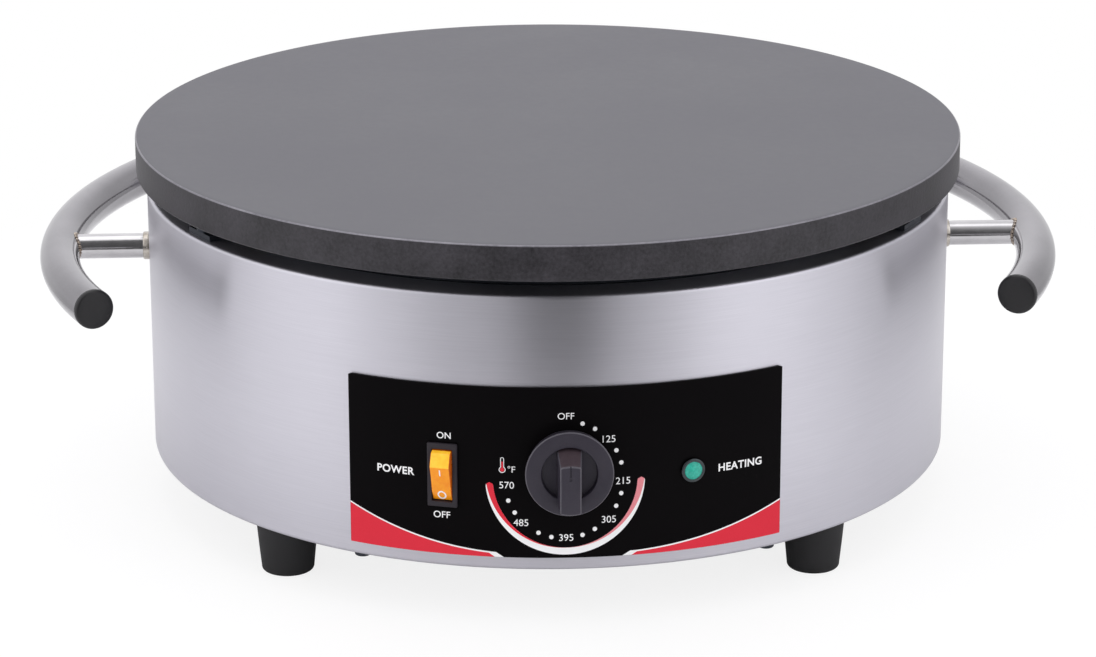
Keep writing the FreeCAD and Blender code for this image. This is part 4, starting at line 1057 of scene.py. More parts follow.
@dataclass
class ControlPanel(Assembly):
    """The printed film wrapped on the drum, with its dial, words and colour fields.

    Places are in millimetres: s to the right of the panel's middle along the film, z above the ground.

    Attributes:
        half_angle: Half the film's reach round the drum, in degrees.
        thickness: Film thickness.
        corner: Radius of the film's corners.
        ink: How far ink stands on the film.
        dial: The dial's centre.
        dial_radius: Radius of the ring of dots.
        dial_squash: Width and height of that ring as shares of a circle's.
        dot_radius: Radius of a dot.
        dot_rise: How far the ring of dots is centred over the dial.
        dot_starts: Dial angles of the first dot of each of its two sets, in degrees.
        dot_step: Dial angle from one dot of a set to the next, in degrees.
        arc_centre: Centre of the two-colour arc.
        arc_radius: Its outer radius.
        arc_width: Its width at mid length.
        arc_ends: Its first and last dial angles, clockwise from the top in degrees.
        sign: Middle of the thermometer's bulb.
        border_start: Where the corner borders begin to rise, from the panel's middle.
        border_height: Their height there.
        border_lean: How much they rise evenly to the panel's edge.
        border_bends: How much more they rise in a curve, on the left and the right.
        field_ends: Where the corner fields end, on the left and the right.
    """

    half_angle: float = 30.1
    thickness: float = 1.0 * MM
    corner: float = 0.6 * MM
    ink: float = 0.03 * MM
    dial: Point = (-2.2, 70.2)
    dial_radius: float = 27.4
    dial_squash: Point = (0.982, 1.025)
    dot_radius: float = 1.05
    dot_rise: float = 0.4
    dot_starts: Point = (18.2, 31.3)
    dot_step: float = 43.5
    arc_centre: Point = (-1.5, 70.8)
    arc_radius: float = 36.2
    arc_width: float = 3.4
    arc_ends: Point = (90.5, 267.0)
    sign: Point = (-30.0, 75.2)
    border_start: float = 30.0
    border_height: float = 35.2
    border_lean: float = 4.0
    border_bends: Point = (13.6, 10.8)
    field_ends: Point = (33.0, 28.0)

    def __post_init__(self) -> None:
        """Reads the film's size from the frame."""
        self.low, self.high = (corner.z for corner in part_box("panel_overlay"))
        self.radius = film_radius()

    def wrap(self, s: float, z: float, lift: float) -> Vector:
        """A point on the film.

        Args:
            s: Millimetres to the right along the film.
            z: Millimetres above the ground.
            lift: Metres outward from the film.

        Returns:
            The point in the frame.
        """
        angle = s * MM / self.radius
        out = self.radius + lift
        return Vector((out * math.sin(angle), -out * math.cos(angle), z * MM))

    def build(self) -> None:
        """Makes the film and everything printed on it."""
        self.film()
        self.words()
        self.dots()
        self.colour_arc()
        self.corner_fields()
        self.thermometer()

    def film(self) -> None:
        """Makes the film itself."""
        columns, rows = 120, 24
        reach = math.radians(self.half_angle)
        shape = bmesh.new()
        loops = []
        for column in range(columns + 1):
            share = 2.0 * column / columns - 1.0
            edge = (1.0 - abs(share)) * reach * self.radius
            inset = self.corner - math.sqrt(self.corner ** 2 - max(0.0, self.corner - edge) ** 2)
            tall = self.high - self.low - 2 * inset
            heights = [self.low + inset + tall * row / rows for row in range(rows + 1)]
            sides = []
            for out in (self.radius, self.radius - self.thickness):
                east, south = out * math.sin(reach * share), -out * math.cos(reach * share)
                sides.append([shape.verts.new((east, south, z)) for z in heights])
            loops.append(sides[0] + sides[1][::-1])
        loft(shape, loops, caps=False)
        for loop in (loops[0], loops[-1]):
            loft(shape, (loop[:rows + 1], loop[:rows:-1]), closed=False, caps=False)
        piece = self.shop.from_bmesh("panel_film", shape)
        self.shop.hand_over(piece, Finishes.panel_film, nodes=["panel_overlay"])

    def lettering(self, text: str, size: float, s: float, z: float, weight: float = 0.0) -> Piece:
        """Sets one word on the film.

        Args:
            text: The word.
            size: Letter size in millimetres.
            s: Its middle along the film.
            z: Its middle above the ground.
            weight: How much bolder than the plain face, as a share of the size.

        Returns:
            The word as a wrapped mesh.
        """
        curve = bpy.data.curves.new("word", "FONT")
        curve.body = text
        curve.size = size
        curve.align_x = "CENTER"
        curve.align_y = "CENTER"
        curve.offset = size * weight
        curve.space_character = 1.0 + 3.0 * weight
        curve.resolution_u = 6
        writer = self.shop.object_from("word", curve)
        graph = bpy.context.evaluated_depsgraph_get()
        mesh = bpy.data.meshes.new_from_object(writer.evaluated_get(graph))
        bpy.data.objects.remove(writer)
        for vert in mesh.vertices:
            vert.co = self.wrap(s + vert.co.x, z + vert.co.y, self.ink)
        return self.shop.object_from("word_" + text.strip("°"), mesh)

    def words(self) -> None:
        """Prints the plain words and the dial's numbers."""
        pieces = [self.lettering(*word) for word in (
            ("ON", 4.3, -56.6, 89.8, 0.008), ("OFF", 4.5, -57.9, 51.7, 0.008),
            ("POWER", 5.0, -80.0, 71.1, 0.022), ("HEATING", 5.1, 81.2, 70.3, 0.022), ("°F", 4.4, -25.9, 75.2),
            ("OFF", 4.4, self.dial[0] + 0.9, self.dial[1] + 30.6),
        )]
        for angle, radius, text in (
            (46.2, 27.7, "125"), (92.5, 26.9, "215"), (133.6, 28.1, "305"), (177.9, 27.6, "395"),
            (223.4, 28.1, "485"), (264.4, 26.0, "570"),
        ):
            pieces.append(self.lettering(text, 4.7, *self.dial_point(self.dial, angle, radius)))
        self.print_joined("panel_words", pieces, Finishes.white_ink)

    def dial_point(self, centre: Point, angle: float, radius: float) -> Point:
        """A point by dial angle, clockwise from the top in degrees."""
        turn = math.radians(angle)
        return centre[0] + radius * math.sin(turn), centre[1] + radius * math.cos(turn)

    def print_joined(self, name: str, pieces: Iterable[Piece], finish: Finish) -> None:
        """Joins flat prints into one piece that faces out.

        Args:
            name: Name of the joined piece.
            pieces: The prints.
            finish: Their ink.
        """
        shape = bmesh.new()
        for piece in pieces:
            shape.from_mesh(piece.data)
            bpy.data.objects.remove(piece)
        for face in shape.faces:
            face.normal_update()
            centre = face.calc_center_median()
            if face.normal.dot(Vector((centre.x, centre.y, 0.0))) < 0.0:
                face.normal_flip()
        self.shop.hand_over(self.shop.object_from(name, self.shop.mesh_from(name, shape)), finish)

    def dots(self) -> None:
        """Prints two dots between each pair of the dial's marks."""
        unit = self.shop.lathe("dot", [(0.0, 0.0), (self.dot_radius, 0.0), (0.0, 0.001)], 20)
        rule = Rule("dial_dots", "Count", "Radius", "First", "Step")
        count, radius, first, step = rule.given
        angle = rule.compute("MULTIPLY_ADD", rule.add("GeometryNodeInputIndex").outputs[0], step, first)
        across = rule.compute("MULTIPLY", rule.compute("SINE", angle), radius)
        up = rule.compute("MULTIPLY", rule.compute("COSINE", angle), radius)
        place = rule.add("ShaderNodeCombineXYZ", {"X": across, "Y": up}).outputs[0]
        line = rule.add("GeometryNodeMeshLine", {"Count": count})
        moved = rule.add("GeometryNodeSetPosition", {"Geometry": line.outputs["Mesh"], "Position": place})
        rule.copy_to(moved.outputs["Geometry"], unit, self.shop.material(Finishes.white_ink))
        pieces = []
        for start in self.dot_starts:
            angles = {"First": math.radians(start), "Step": math.radians(self.dot_step)}
            part = rule.run(self.shop, "dots", {"Count": 6, "Radius": self.dial_radius, **angles})
            for vert in part.data.vertices:
                s = self.dial[0] + self.dial_squash[0] * vert.co.x
                z = self.dial[1] + self.dot_rise + self.dial_squash[1] * vert.co.y
                vert.co = self.wrap(s, z, self.ink + vert.co.z * MM)
            pieces.append(part)
        bpy.data.objects.remove(unit)
        self.print_joined("panel_dots", pieces, Finishes.white_ink)

    def ribbon(
        self, name: str, edges: Callable[[float], tuple[Point, Point]], steps: int, lift: float,
        finish: Finish,
    ) -> None:
        """Prints the strip between two curves.

        Args:
            name: Name of the print.
            edges: The (s, z) points of both edges at a share of the length.
            steps: Number of steps along it.
            lift: Metres above the film.
            finish: Its ink.
        """
        shape = bmesh.new()
        across = 4
        rows = []
        for step in range(steps + 1):
            first, second = (Vector(point) for point in edges(step / steps))
            places = [first.lerp(second, part / across) for part in range(across + 1)]
            rows.append([shape.verts.new(self.wrap(*place, lift)) for place in places])
        loft(shape, rows, closed=False, caps=False)
        self.print_joined(name, [self.shop.object_from(name, self.shop.mesh_from(name, shape))], finish)

    def colour_arc(self) -> None:
        """Prints the arc under the dial: white low down, red on the left and pink on the right."""
        start, end = self.arc_ends
        half = self.arc_width / 2
        for name, first, last, steps, layer, finish in (
            ("white", start, end, 120, 1.0, Finishes.white_ink),
            ("pink", start, 180.0, 70, 2.0, Finishes.pink_ink),
            ("red", end, 180.0, 70, 2.0, Finishes.red_ink),
        ):
            def edges(share: float) -> tuple[Point, Point]:
                """Gives the edges of the strip: rounded at the arc's ends, a colour narrowing to its middle.

                Args:
                    share: Share of the strip's length.

                Returns:
                    The points of the inner and the outer edge.
                """
                angle = first + (last - first) * share
                left = min(angle - start, end - angle) * math.radians(1.0) * self.arc_radius
                pinch = half - math.sqrt(max(0.0, half ** 2 - max(0.0, half - left) ** 2))
                inner, outer = self.arc_radius - self.arc_width + pinch, self.arc_radius - pinch
                if layer > 1.0:
                    reach = abs(angle - 180.0) / (end - 180.0)
                    outer = min(outer, inner + self.arc_width * (0.02 + 0.88 * reach ** 1.5))
                return tuple(self.dial_point(self.arc_centre, angle, radius) for radius in (inner, outer))

            self.ribbon("panel_arc_" + name, edges, steps, self.ink * layer, finish)

    def corner_fields(self) -> None:
        """Prints the red fields in the lower corners with their white borders."""
        bottom = self.low / MM + 0.05
        edge = math.radians(self.half_angle) * self.radius / MM - 0.1

        def height(s: float) -> float:
            """Height of the white border at a place along the film."""
            reach = max(0.0, (abs(s) - self.border_start) / (edge - self.border_start))
            return self.border_height + self.border_lean * reach + bend * reach ** 2.1

        def edges(share: float) -> tuple[Point, Point]:
            """The strip's upper edge, and its lower edge that slants past it."""
            top, low = (edge + (end - edge) * share for end in ends)
            return (side * top, height(top) - drop), (side * low, bottom)

        sides = zip((-1.0, 1.0), ("left", "right"), self.field_ends, self.border_bends)
        for side, name, inner, bend in sides:
            for kind, ends, drop, layer, finish in (
                ("border", (inner, inner - 3.6), 0.0, 1.0, Finishes.white_ink),
                ("field", (inner + 3.2, inner + 0.6), 0.7, 2.0, Finishes.red_ink),
            ):
                self.ribbon(f"panel_{kind}_{name}", edges, 60, self.ink * layer, finish)

    def thermometer(self) -> None:
        """Prints the small thermometer sign beside the dial."""
        def edges(share: float) -> tuple[Point, Point]:
            """Gives both sides of the sign.

            Args:
                share: Share of its height.

            Returns:
                The left and the right point.
            """
            z = (height + bulb) * share - bulb
            ball = math.sqrt(max(0.0, bulb ** 2 - z ** 2)) if z < bulb else 0.0
            stem = tube if z > 0 else 0.0
            if z > height - tube:
                stem = math.sqrt(max(0.0, tube ** 2 - (z - height + tube) ** 2))
            half = max(ball, stem)
            return (self.sign[0] - half, self.sign[1] + z), (self.sign[0] + half, self.sign[1] + z)

        for name, tube, bulb, height, layer, finish in (
            ("outline", 0.85, 1.55, 6.0, 1.0, Finishes.white_ink),
            ("black", 0.55, 1.2, 5.7, 1.6, Finishes.panel_film),
            ("red", 0.35, 0.95, 4.0, 2.2, Finishes.red_ink),
        ):
            self.ribbon("panel_sign_" + name, edges, 36, self.ink * layer, finish)


@dataclass
class ThermostatKnob(Assembly):
    """The dial knob: a skirt with a recess and a tapered grip bar.

    Attributes:
        gap: Standoff from the film.
        skirt: Skirt radius at the back.
        face: Skirt radius at the front.
        depth: Skirt depth.
        edge: Rounding of the front edge.
        wall: Thickness of the skirt's wall.
        recess: Recess radius.
        recess_depth: Its depth.
        floor_wall: Thickness of its floor.
        hub: Inner and outer radius of the hub.
        grip_foot: Half width, reach up and reach down of the grip at its foot.
        grip_nose: The same at its front.
        bow: How far the grip's ends are bowed.
        groove: Half width, lower end, upper end and depth of the pointer groove.
        pit: Radius at the bottom, radius above the mouth and depth of the round pit.
        pit_up: Place of the pit over the knob's middle.
    """

    gap: float = 1.0 * MM
    skirt: float = 18.8 * MM
    face: float = 20.0 * MM
    depth: float = 7.0 * MM
    edge: float = 0.7 * MM
    wall: float = 3.0 * MM
    recess: float = 12.6 * MM
    recess_depth: float = 3.5 * MM
    floor_wall: float = 2.0 * MM
    hub: Point = (3.05 * MM, 5.6 * MM)
    grip_foot: Sequence[float] = (5.75 * MM, 12.4 * MM, 16.0 * MM)
    grip_nose: Sequence[float] = (4.75 * MM, 7.2 * MM, 16.0 * MM)
    bow: float = 0.7 * MM
    groove: Sequence[float] = (0.35 * MM, 2.2 * MM, 7.8 * MM, 0.45 * MM)
    pit: Sequence[float] = (0.6 * MM, 0.8 * MM, 0.4 * MM)
    pit_up: float = 1.0 * MM

    def build(self) -> None:
        """Makes and dresses the knob."""
        place = outward(0.0, film_radius(), middle("thermostat_knob").z)
        top = self.gap + self.depth
        floor = top - self.recess_depth
        back = floor - self.floor_wall
        cavity = self.skirt - self.wall
        rear, mouth, foot = 0.3 * MM, 0.5 * MM, 0.4 * MM
        outline: list[Point] = [(0.0, back), (cavity, back), (cavity, self.gap)]
        outline += [(self.skirt - rear, self.gap), (self.skirt, self.gap + rear)]
        outline += arc((self.face - self.edge, top - self.edge), self.edge, -8.0, 90.0, 6)
        outline += arc((self.recess + mouth, top - mouth), mouth, 90.0, 180.0, 4)
        outline += arc((self.recess - foot, floor + foot), foot, 0.0, -90.0, 3)
        outline.append((0.0, floor))
        skirt = self.shop.lathe("knob_skirt", outline, 144, 35.0, place)
        home = place.inverted()

        def highlight_rim(face: Face) -> int:
            """1 on the skirt's front edge, which gets a painted highlight, otherwise 0."""
            centre = home @ face.center
            return int(centre.xy.length > self.face - 0.75 * self.edge and centre.z > top - self.edge)

        self.shop.paint(skirt, (Finishes.knob_plastic, Finishes.knob_rim_highlight), highlight_rim)
        self.shop.hand_over(skirt, Finishes.knob_plastic, Body.KNOB)
        inner, outer = self.hub
        end = back + 0.1 * MM
        section = [(inner, self.gap), (outer, self.gap), (outer, end), (inner, end)]
        hub = self.shop.lathe("knob_hub", section, 48, place=place)
        self.shop.hand_over(hub, Finishes.knob_plastic, Body.KNOB)
        self.grip(place, floor, -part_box("thermostat_knob")[0].y - film_radius())

    def grip(self, place: Matrix, floor: float, top: float) -> None:
        """Makes the grip bar with its pointer groove and pit.

        Args:
            place: The knob's frame.
            floor: Height of the recess floor in it.
            top: Height of the grip's front in it.
        """
        low = floor - 1.0 * MM
        rows, steps = 6, 8
        shape = bmesh.new()
        loops = []
        for row in range(rows + 1):
            share = row / rows
            sizes = zip(self.grip_foot, self.grip_nose)
            half, up, down = (foot + (nose - foot) * share for foot, nose in sizes)
            z = low + (top - low) * share
            ways = [2.0 * step / steps - 1.0 for step in range(steps + 1)]
            loop = [(half * way, self.bow * way ** 2 - down, z) for way in ways]
            loop += [(-half * way, up - self.bow * way ** 2, z) for way in ways]
            loops.append([shape.verts.new(point) for point in loop])
        loft(shape, loops)
        bmesh.ops.dissolve_limit(shape, angle_limit=0.001, verts=shape.verts, edges=shape.edges)
        bar = self.shop.from_bmesh("knob_grip", shape)
        finishes = (Finishes.knob_plastic, Finishes.knob_rim_highlight, Finishes.knob_lit_slope)
        # Faces turned upward take the lighter slope finish: painted light.
        self.shop.paint(bar, finishes, lambda face: 2 if face.normal.y > 0.5 else 0)
        # The rounding takes the lighter edge finish: a painted highlight.
        self.shop.bevelled(bar, 0.5 * MM, material=1)
        above = top + 1.0 * MM
        half, start, end, depth = self.groove
        self.shop.combine(bar, self.shop.block("groove", (-half, start, top - depth), (half, end, above)))
        narrow, wide, depth = self.pit
        cone = [(0.0, top - depth), (narrow, top - depth), (wide, above), (0.0, above)]
        spot = Matrix.Translation((0.0, self.pit_up, 0.0))
        self.shop.combine(bar, self.shop.lathe("pit", cone, 24, place=spot))
        bar.data.transform(place)
        self.shop.hand_over(bar, Finishes.knob_plastic, Body.KNOB, nodes=["thermostat_knob"])


@dataclass
class PowerSwitch(Assembly):
    """The rocker switch: a bezel round a pocket, and the amber rocker.

    Attributes:
        bearing: Bearing in degrees.
        bezel: Half width, half height and thickness of the bezel.
        pocket: Half width, half height and depth of the pocket under the bezel's face.
        housing: Half width, half height and depth of the housing.
        rocker_half: Half width of the rocker.
        end_radius: Radius of the rocker's round ends.
        pivot_depth: Pivot depth under the bezel's face.
        end_rise: How far the round ends stand over the bezel's face.
        keel: Depth of the rocker under the bezel's face, less the pivot's.
        crest: Height of the ridges over the bezel's face.
        ridge: Distance of a ridge from the middle.
        shoulder: Distance of the shoulder outside it.
        crown_start: Where the rocker's brighter upper end begins.
        dip: How far the middle lies under the upper ridge.
        fall: How far the lower ridge lies under the upper one.
        tilt: Rocker's tilt at rest, in degrees.
        stroke: Half width, lower end and upper end of the stroke printed on it.
        mark_ring: Outer and inner half width of the ring printed on it.
        mark_stretch: The ring's height over its width.
        mark_up: Place of the ring's centre.
    """

    bearing: float = -16.7
    bezel: Sequence[float] = (7.0 * MM, 15.2 * MM, 2.0 * MM)
    pocket: Sequence[float] = (4.9 * MM, 12.6 * MM, 9.1 * MM)
    housing: Sequence[float] = (6.1 * MM, 14.4 * MM, 20.0 * MM)
    rocker_half: float = 4.6 * MM
    end_radius: float = 12.3 * MM
    pivot_depth: float = 3.0 * MM
    end_rise: float = 0.4 * MM
    keel: float = 6.0 * MM
    crest: float = 3.5 * MM
    ridge: float = 6.3 * MM
    shoulder: float = 7.1 * MM
    # The rocker's upper end from here on is painted brighter: painted light.
    crown_start: float = 6.2 * MM
    dip: float = 0.9 * MM
    fall: float = 1.3 * MM
    tilt: float = 10.0
    stroke: Sequence[float] = (0.28 * MM, 1.9 * MM, 5.2 * MM)
    mark_ring: Point = (2.05 * MM, 1.35 * MM)
    mark_stretch: float = 1.25
    mark_up: float = -8.7 * MM

    def __post_init__(self) -> None:
        """Works out the switch's frame and the tilted rocker's."""
        self.face = SEAT + self.bezel[2]
        self.place = outward(self.bearing, film_radius(), middle("switch_housing").z)
        self.pivot = self.face - self.pivot_depth
        self.top = self.face + self.crest
        turn = Matrix.Translation((0, 0, self.pivot)) @ Matrix.Rotation(math.radians(self.tilt), 4, "X")
        self.tilted = self.place @ turn @ Matrix.Translation((0, 0, -self.pivot))

    def centred(self, name: str, half: Sequence[float], low: float, high: float) -> Piece:
        """A box about the switch's middle, from its half sizes and the heights of its back and front."""
        return self.shop.block(name, (-half[0], -half[1], low), (half[0], half[1], high))

    def build(self) -> None:
        """Makes and dresses the switch."""
        bezel = self.centred("switch_bezel", self.bezel, SEAT, self.face)
        self.shop.bevelled(bezel, 0.7 * MM)
        box = self.centred("switch_box", self.housing, self.face - self.housing[2], SEAT + 0.6 * MM)
        self.shop.combine(bezel, box, "UNION")
        slot = self.centred("slot", self.pocket, self.face - self.pocket[2], self.face + 1.0 * MM)
        self.shop.bevelled(slot, 0.5 * MM, 2)
        self.shop.combine(bezel, slot)
        bezel.data.transform(self.place)
        self.shop.hand_over(bezel, Finishes.bezel_plastic, nodes=["switch_housing"])
        self.rocker()
        self.marks()

    def outline(self) -> list[Point]:
        """Gives the side view of the rocker when it is level.

        Returns:
            The closed outline's (up, out) points.
        """
        heights = (self.pivot_depth + self.end_rise, self.pivot_depth - self.keel)
        high, low = (math.degrees(math.asin(height / self.end_radius)) for height in heights)
        points = arc((0.0, self.pivot), self.end_radius, low, high, 8)
        points += [(self.shoulder, self.top - 0.25 * MM), (self.ridge, self.top - 0.03 * MM)]
        points += [(0.0, self.top - self.dip), (-self.ridge, self.top - self.fall)]
        points.append((-self.shoulder, self.top - self.fall - 0.2 * MM))
        return points + arc((0.0, self.pivot), self.end_radius, 180.0 - high, 180.0 - low, 8)

    def rocker(self) -> None:
        """Makes the amber rocker."""
        shape = bmesh.new()
        outline = self.outline()
        half = self.rocker_half
        loft(shape, [[shape.verts.new((across, up, out)) for up, out in outline] for across in (-half, half)])
        piece = self.shop.from_bmesh("rocker_button", shape, 25.0)
        self.shop.bevelled(piece, 0.55 * MM)

        def zone(face: Face) -> int:
            """Picks the finish of a face.

            Args:
                face: The face.

            Returns:
                2 on the rocker's sides and back, painted shade; 1 on its upper end, painted light; otherwise
                0.
            """
            if abs(face.normal.x) > 0.35 or face.normal.z < 0.1:
                return 2
            return int(face.center.y > self.crown_start)

        self.shop.paint(piece, (Finishes.amber, Finishes.amber_lit_crown, Finishes.amber_shaded_sides), zone)
        piece.data.transform(self.tilted)
        self.shop.hand_over(piece, Finishes.amber, Body.ROCKER, nodes=["switch_rocker"])

    def surface(self, up: float) -> float:
        """Gives the height of a mark on the rocker's face, just proud of it.

        Args:
            up: Distance over the rocker's middle.

        Returns:
            The height in the switch's frame.
        """
        proud = self.top + 0.05 * MM
        upper_rise, tail_fall, tail_length = 0.87 * MM, 1.6 * MM, 4.7 * MM
        if up >= 0.0:
            return proud - self.dip + upper_rise * up / self.ridge
        if up >= -self.ridge:
            return proud - self.dip + (self.fall - self.dip) * up / self.ridge
        return proud - self.fall - 0.2 * MM + tail_fall / tail_length * (up + self.shoulder)

    def marks(self) -> None:
        """Prints the stroke and the ring on the rocker."""
        shape = bmesh.new()
        half, low, high = self.stroke
        corners = [(-half, low), (half, low), (half, high), (-half, high)]
        shape.faces.new([shape.verts.new((x, y, self.surface(y))) for x, y in corners])

        def at(turn: float) -> tuple[float, float, float]:
            """A point of the ring, which is taller than wide."""
            up = self.mark_stretch * radius * math.sin(turn) + self.mark_up
            return radius * math.cos(turn), up, self.surface(up)

        loops = []
        for radius in self.mark_ring:
            loops.append(ring(shape, 40, at))
        loft(shape, loops, caps=False)
        mesh = self.shop.mesh_from("rocker_marks", shape)
        mesh.transform(self.tilted)
        self.shop.hand_over(self.shop.object_from("rocker_marks", mesh), Finishes.white_ink, Body.ROCKER)


@dataclass
class HeatingLamp(Assembly):
    """The indicator lamp: a dark ring and a green prism lens.

    Attributes:
        bearing: Bearing in degrees.
        ring: Outer ring radius.
        ring_edge: Edge rounding of the ring.
        barrel: Inner and outer radius of the lamp's barrel.
        barrel_end: How far the barrel reaches behind the film.
        lens: Lens radius.
        rise: Ring thickness.
        crown: How far the lens domes.
        prism: Size of one prism.
    """

    bearing: float = 16.7
    ring: float = 5.7 * MM
    ring_edge: float = 0.5 * MM
    barrel: Point = (3.4 * MM, 4.6 * MM)
    barrel_end: float = 22.0 * MM
    lens: float = 4.2 * MM
    rise: float = 1.6 * MM
    crown: float = 1.8 * MM
    prism: float = 0.42 * MM

    def build(self) -> None:
        """Makes and dresses the lamp."""
        place = outward(self.bearing, film_radius(), middle("lamp_lens").z)
        hole = self.lens + SEAT
        base = SEAT + self.rise
        inner, outer = self.barrel
        outline = [(inner, -self.barrel_end), (outer, -self.barrel_end), (outer, SEAT), (self.ring, SEAT)]
        outline += arc((self.ring - self.ring_edge, base - self.ring_edge), self.ring_edge, 0.0, 90.0, 5)
        outline += [(hole, base), (hole, SEAT), (inner, SEAT)]
        self.shop.hand_over(
            self.shop.lathe("lamp_ring", outline, 96, place=place), Finishes.dark_chrome, nodes=["lamp_bezel"]
        )
        globe = (self.lens ** 2 + self.crown ** 2) / (2 * self.crown)
        limit = math.degrees(math.asin(self.lens / globe))
        centre = base + self.crown - globe
        outline = [(0.0, 2 * SEAT), (self.lens, 2 * SEAT)]
        outline += arc((0.0, centre), globe, 90.0 - limit, 90.0, 10)[:-1] + [(0.0, base + self.crown)]
        lens = self.shop.lathe("lamp_lens_body", outline, 72, 50.0, place)
        self.shop.hand_over(lens, Finishes.green_lens, nodes=["lamp_lens"])
        self.prisms(place, centre, globe)

    def prisms(self, place: Matrix, centre: float, globe: float) -> None:
        """Covers the lens with small prisms.

        Args:
            place: The lamp's frame.
            centre: Height of the dome's centre.
            globe: The dome's radius.
        """
        size = self.prism
        shape = bmesh.new()
        bmesh.ops.create_cone(
            shape, cap_ends=True, segments=6, radius1=size, radius2=size * 0.25, depth=size * 0.45
        )
        unit = self.shop.from_bmesh("prism", shape, 10.0)
        rule = Rule("lens_prisms", "Size", "Pitch")
        side, pitch = rule.given
        count = rule.compute("DIVIDE", side, pitch)
        sides = {"Size X": side, "Vertices X": count, "Size Y": side, "Vertices Y": count}
        grid = rule.add("GeometryNodeMeshGrid", sides)
        rule.copy_to(grid.outputs["Mesh"], unit, self.shop.material(Finishes.green_lens))
        piece = rule.run(self.shop, "lens_prisms", {"Size": 2.0 * self.lens, "Pitch": 1.7 * size})
        bpy.data.objects.remove(unit)
        shape = bmesh.new()
        shape.from_mesh(piece.data)
        spare = [vert for vert in shape.verts if vert.co.xy.length > self.lens - size * 0.6]
        bmesh.ops.delete(shape, geom=spare, context="VERTS")
        for vert in shape.verts:
            vert.co.z += centre + math.sqrt(globe ** 2 - vert.co.xy.length_squared) + 0.03 * MM
        shape.to_mesh(piece.data)
        shape.free()
        piece.data.transform(place)
        self.shop.hand_over(piece, Finishes.green_lens)


@dataclass
class InnerWorks(Assembly):
    """The pieces under the plate and inside the drum, dressed as they are."""

    def build(self) -> None:
        """Dresses every node that keeps its own shape."""
        # Dark bluish steel on the shield, the plate's supports and screws, and the screws under the drum.
        for finish, names in (
            (Finishes.dark_steel, "heat_shield plate_screws support_bolts base_screws"),
            (Finishes.dark_steel, "plate_support_1 plate_support_2 plate_support_3"),
            (Finishes.zinc_sheet, "base_plate control_bracket element_clamp bulb_clips"),
            (Finishes.element_sheath, "heating_element"),
            (Finishes.ceramic_fibre, "insulation_pad"),
            (Finishes.copper, "thermostat_bulb"),
            (Finishes.moulded_plastic, "thermostat_body safety_cutout cable_gland gland_nut"),
            (Finishes.terminal_plastic, "terminal_block"),
            (Finishes.lead_sleeve, "wiring_leads"),
            (Finishes.bright_zinc, "thermostat_shaft clamp_studs clamp_washers clamp_nuts support_nuts"),
            (Finishes.bright_zinc, "base_nuts foot_screws foot_washers foot_nuts stub_washers stub_nuts"),
            (Finishes.bright_zinc, "lamp_nut control_bracket_screws control_bracket_nuts thermostat_screws"),
            (Finishes.bright_zinc, "bulb_screws cutout_screws terminal_screws earth_stud earth_nuts"),
        ):
            self.shop.dress_nodes(finish, names.split())


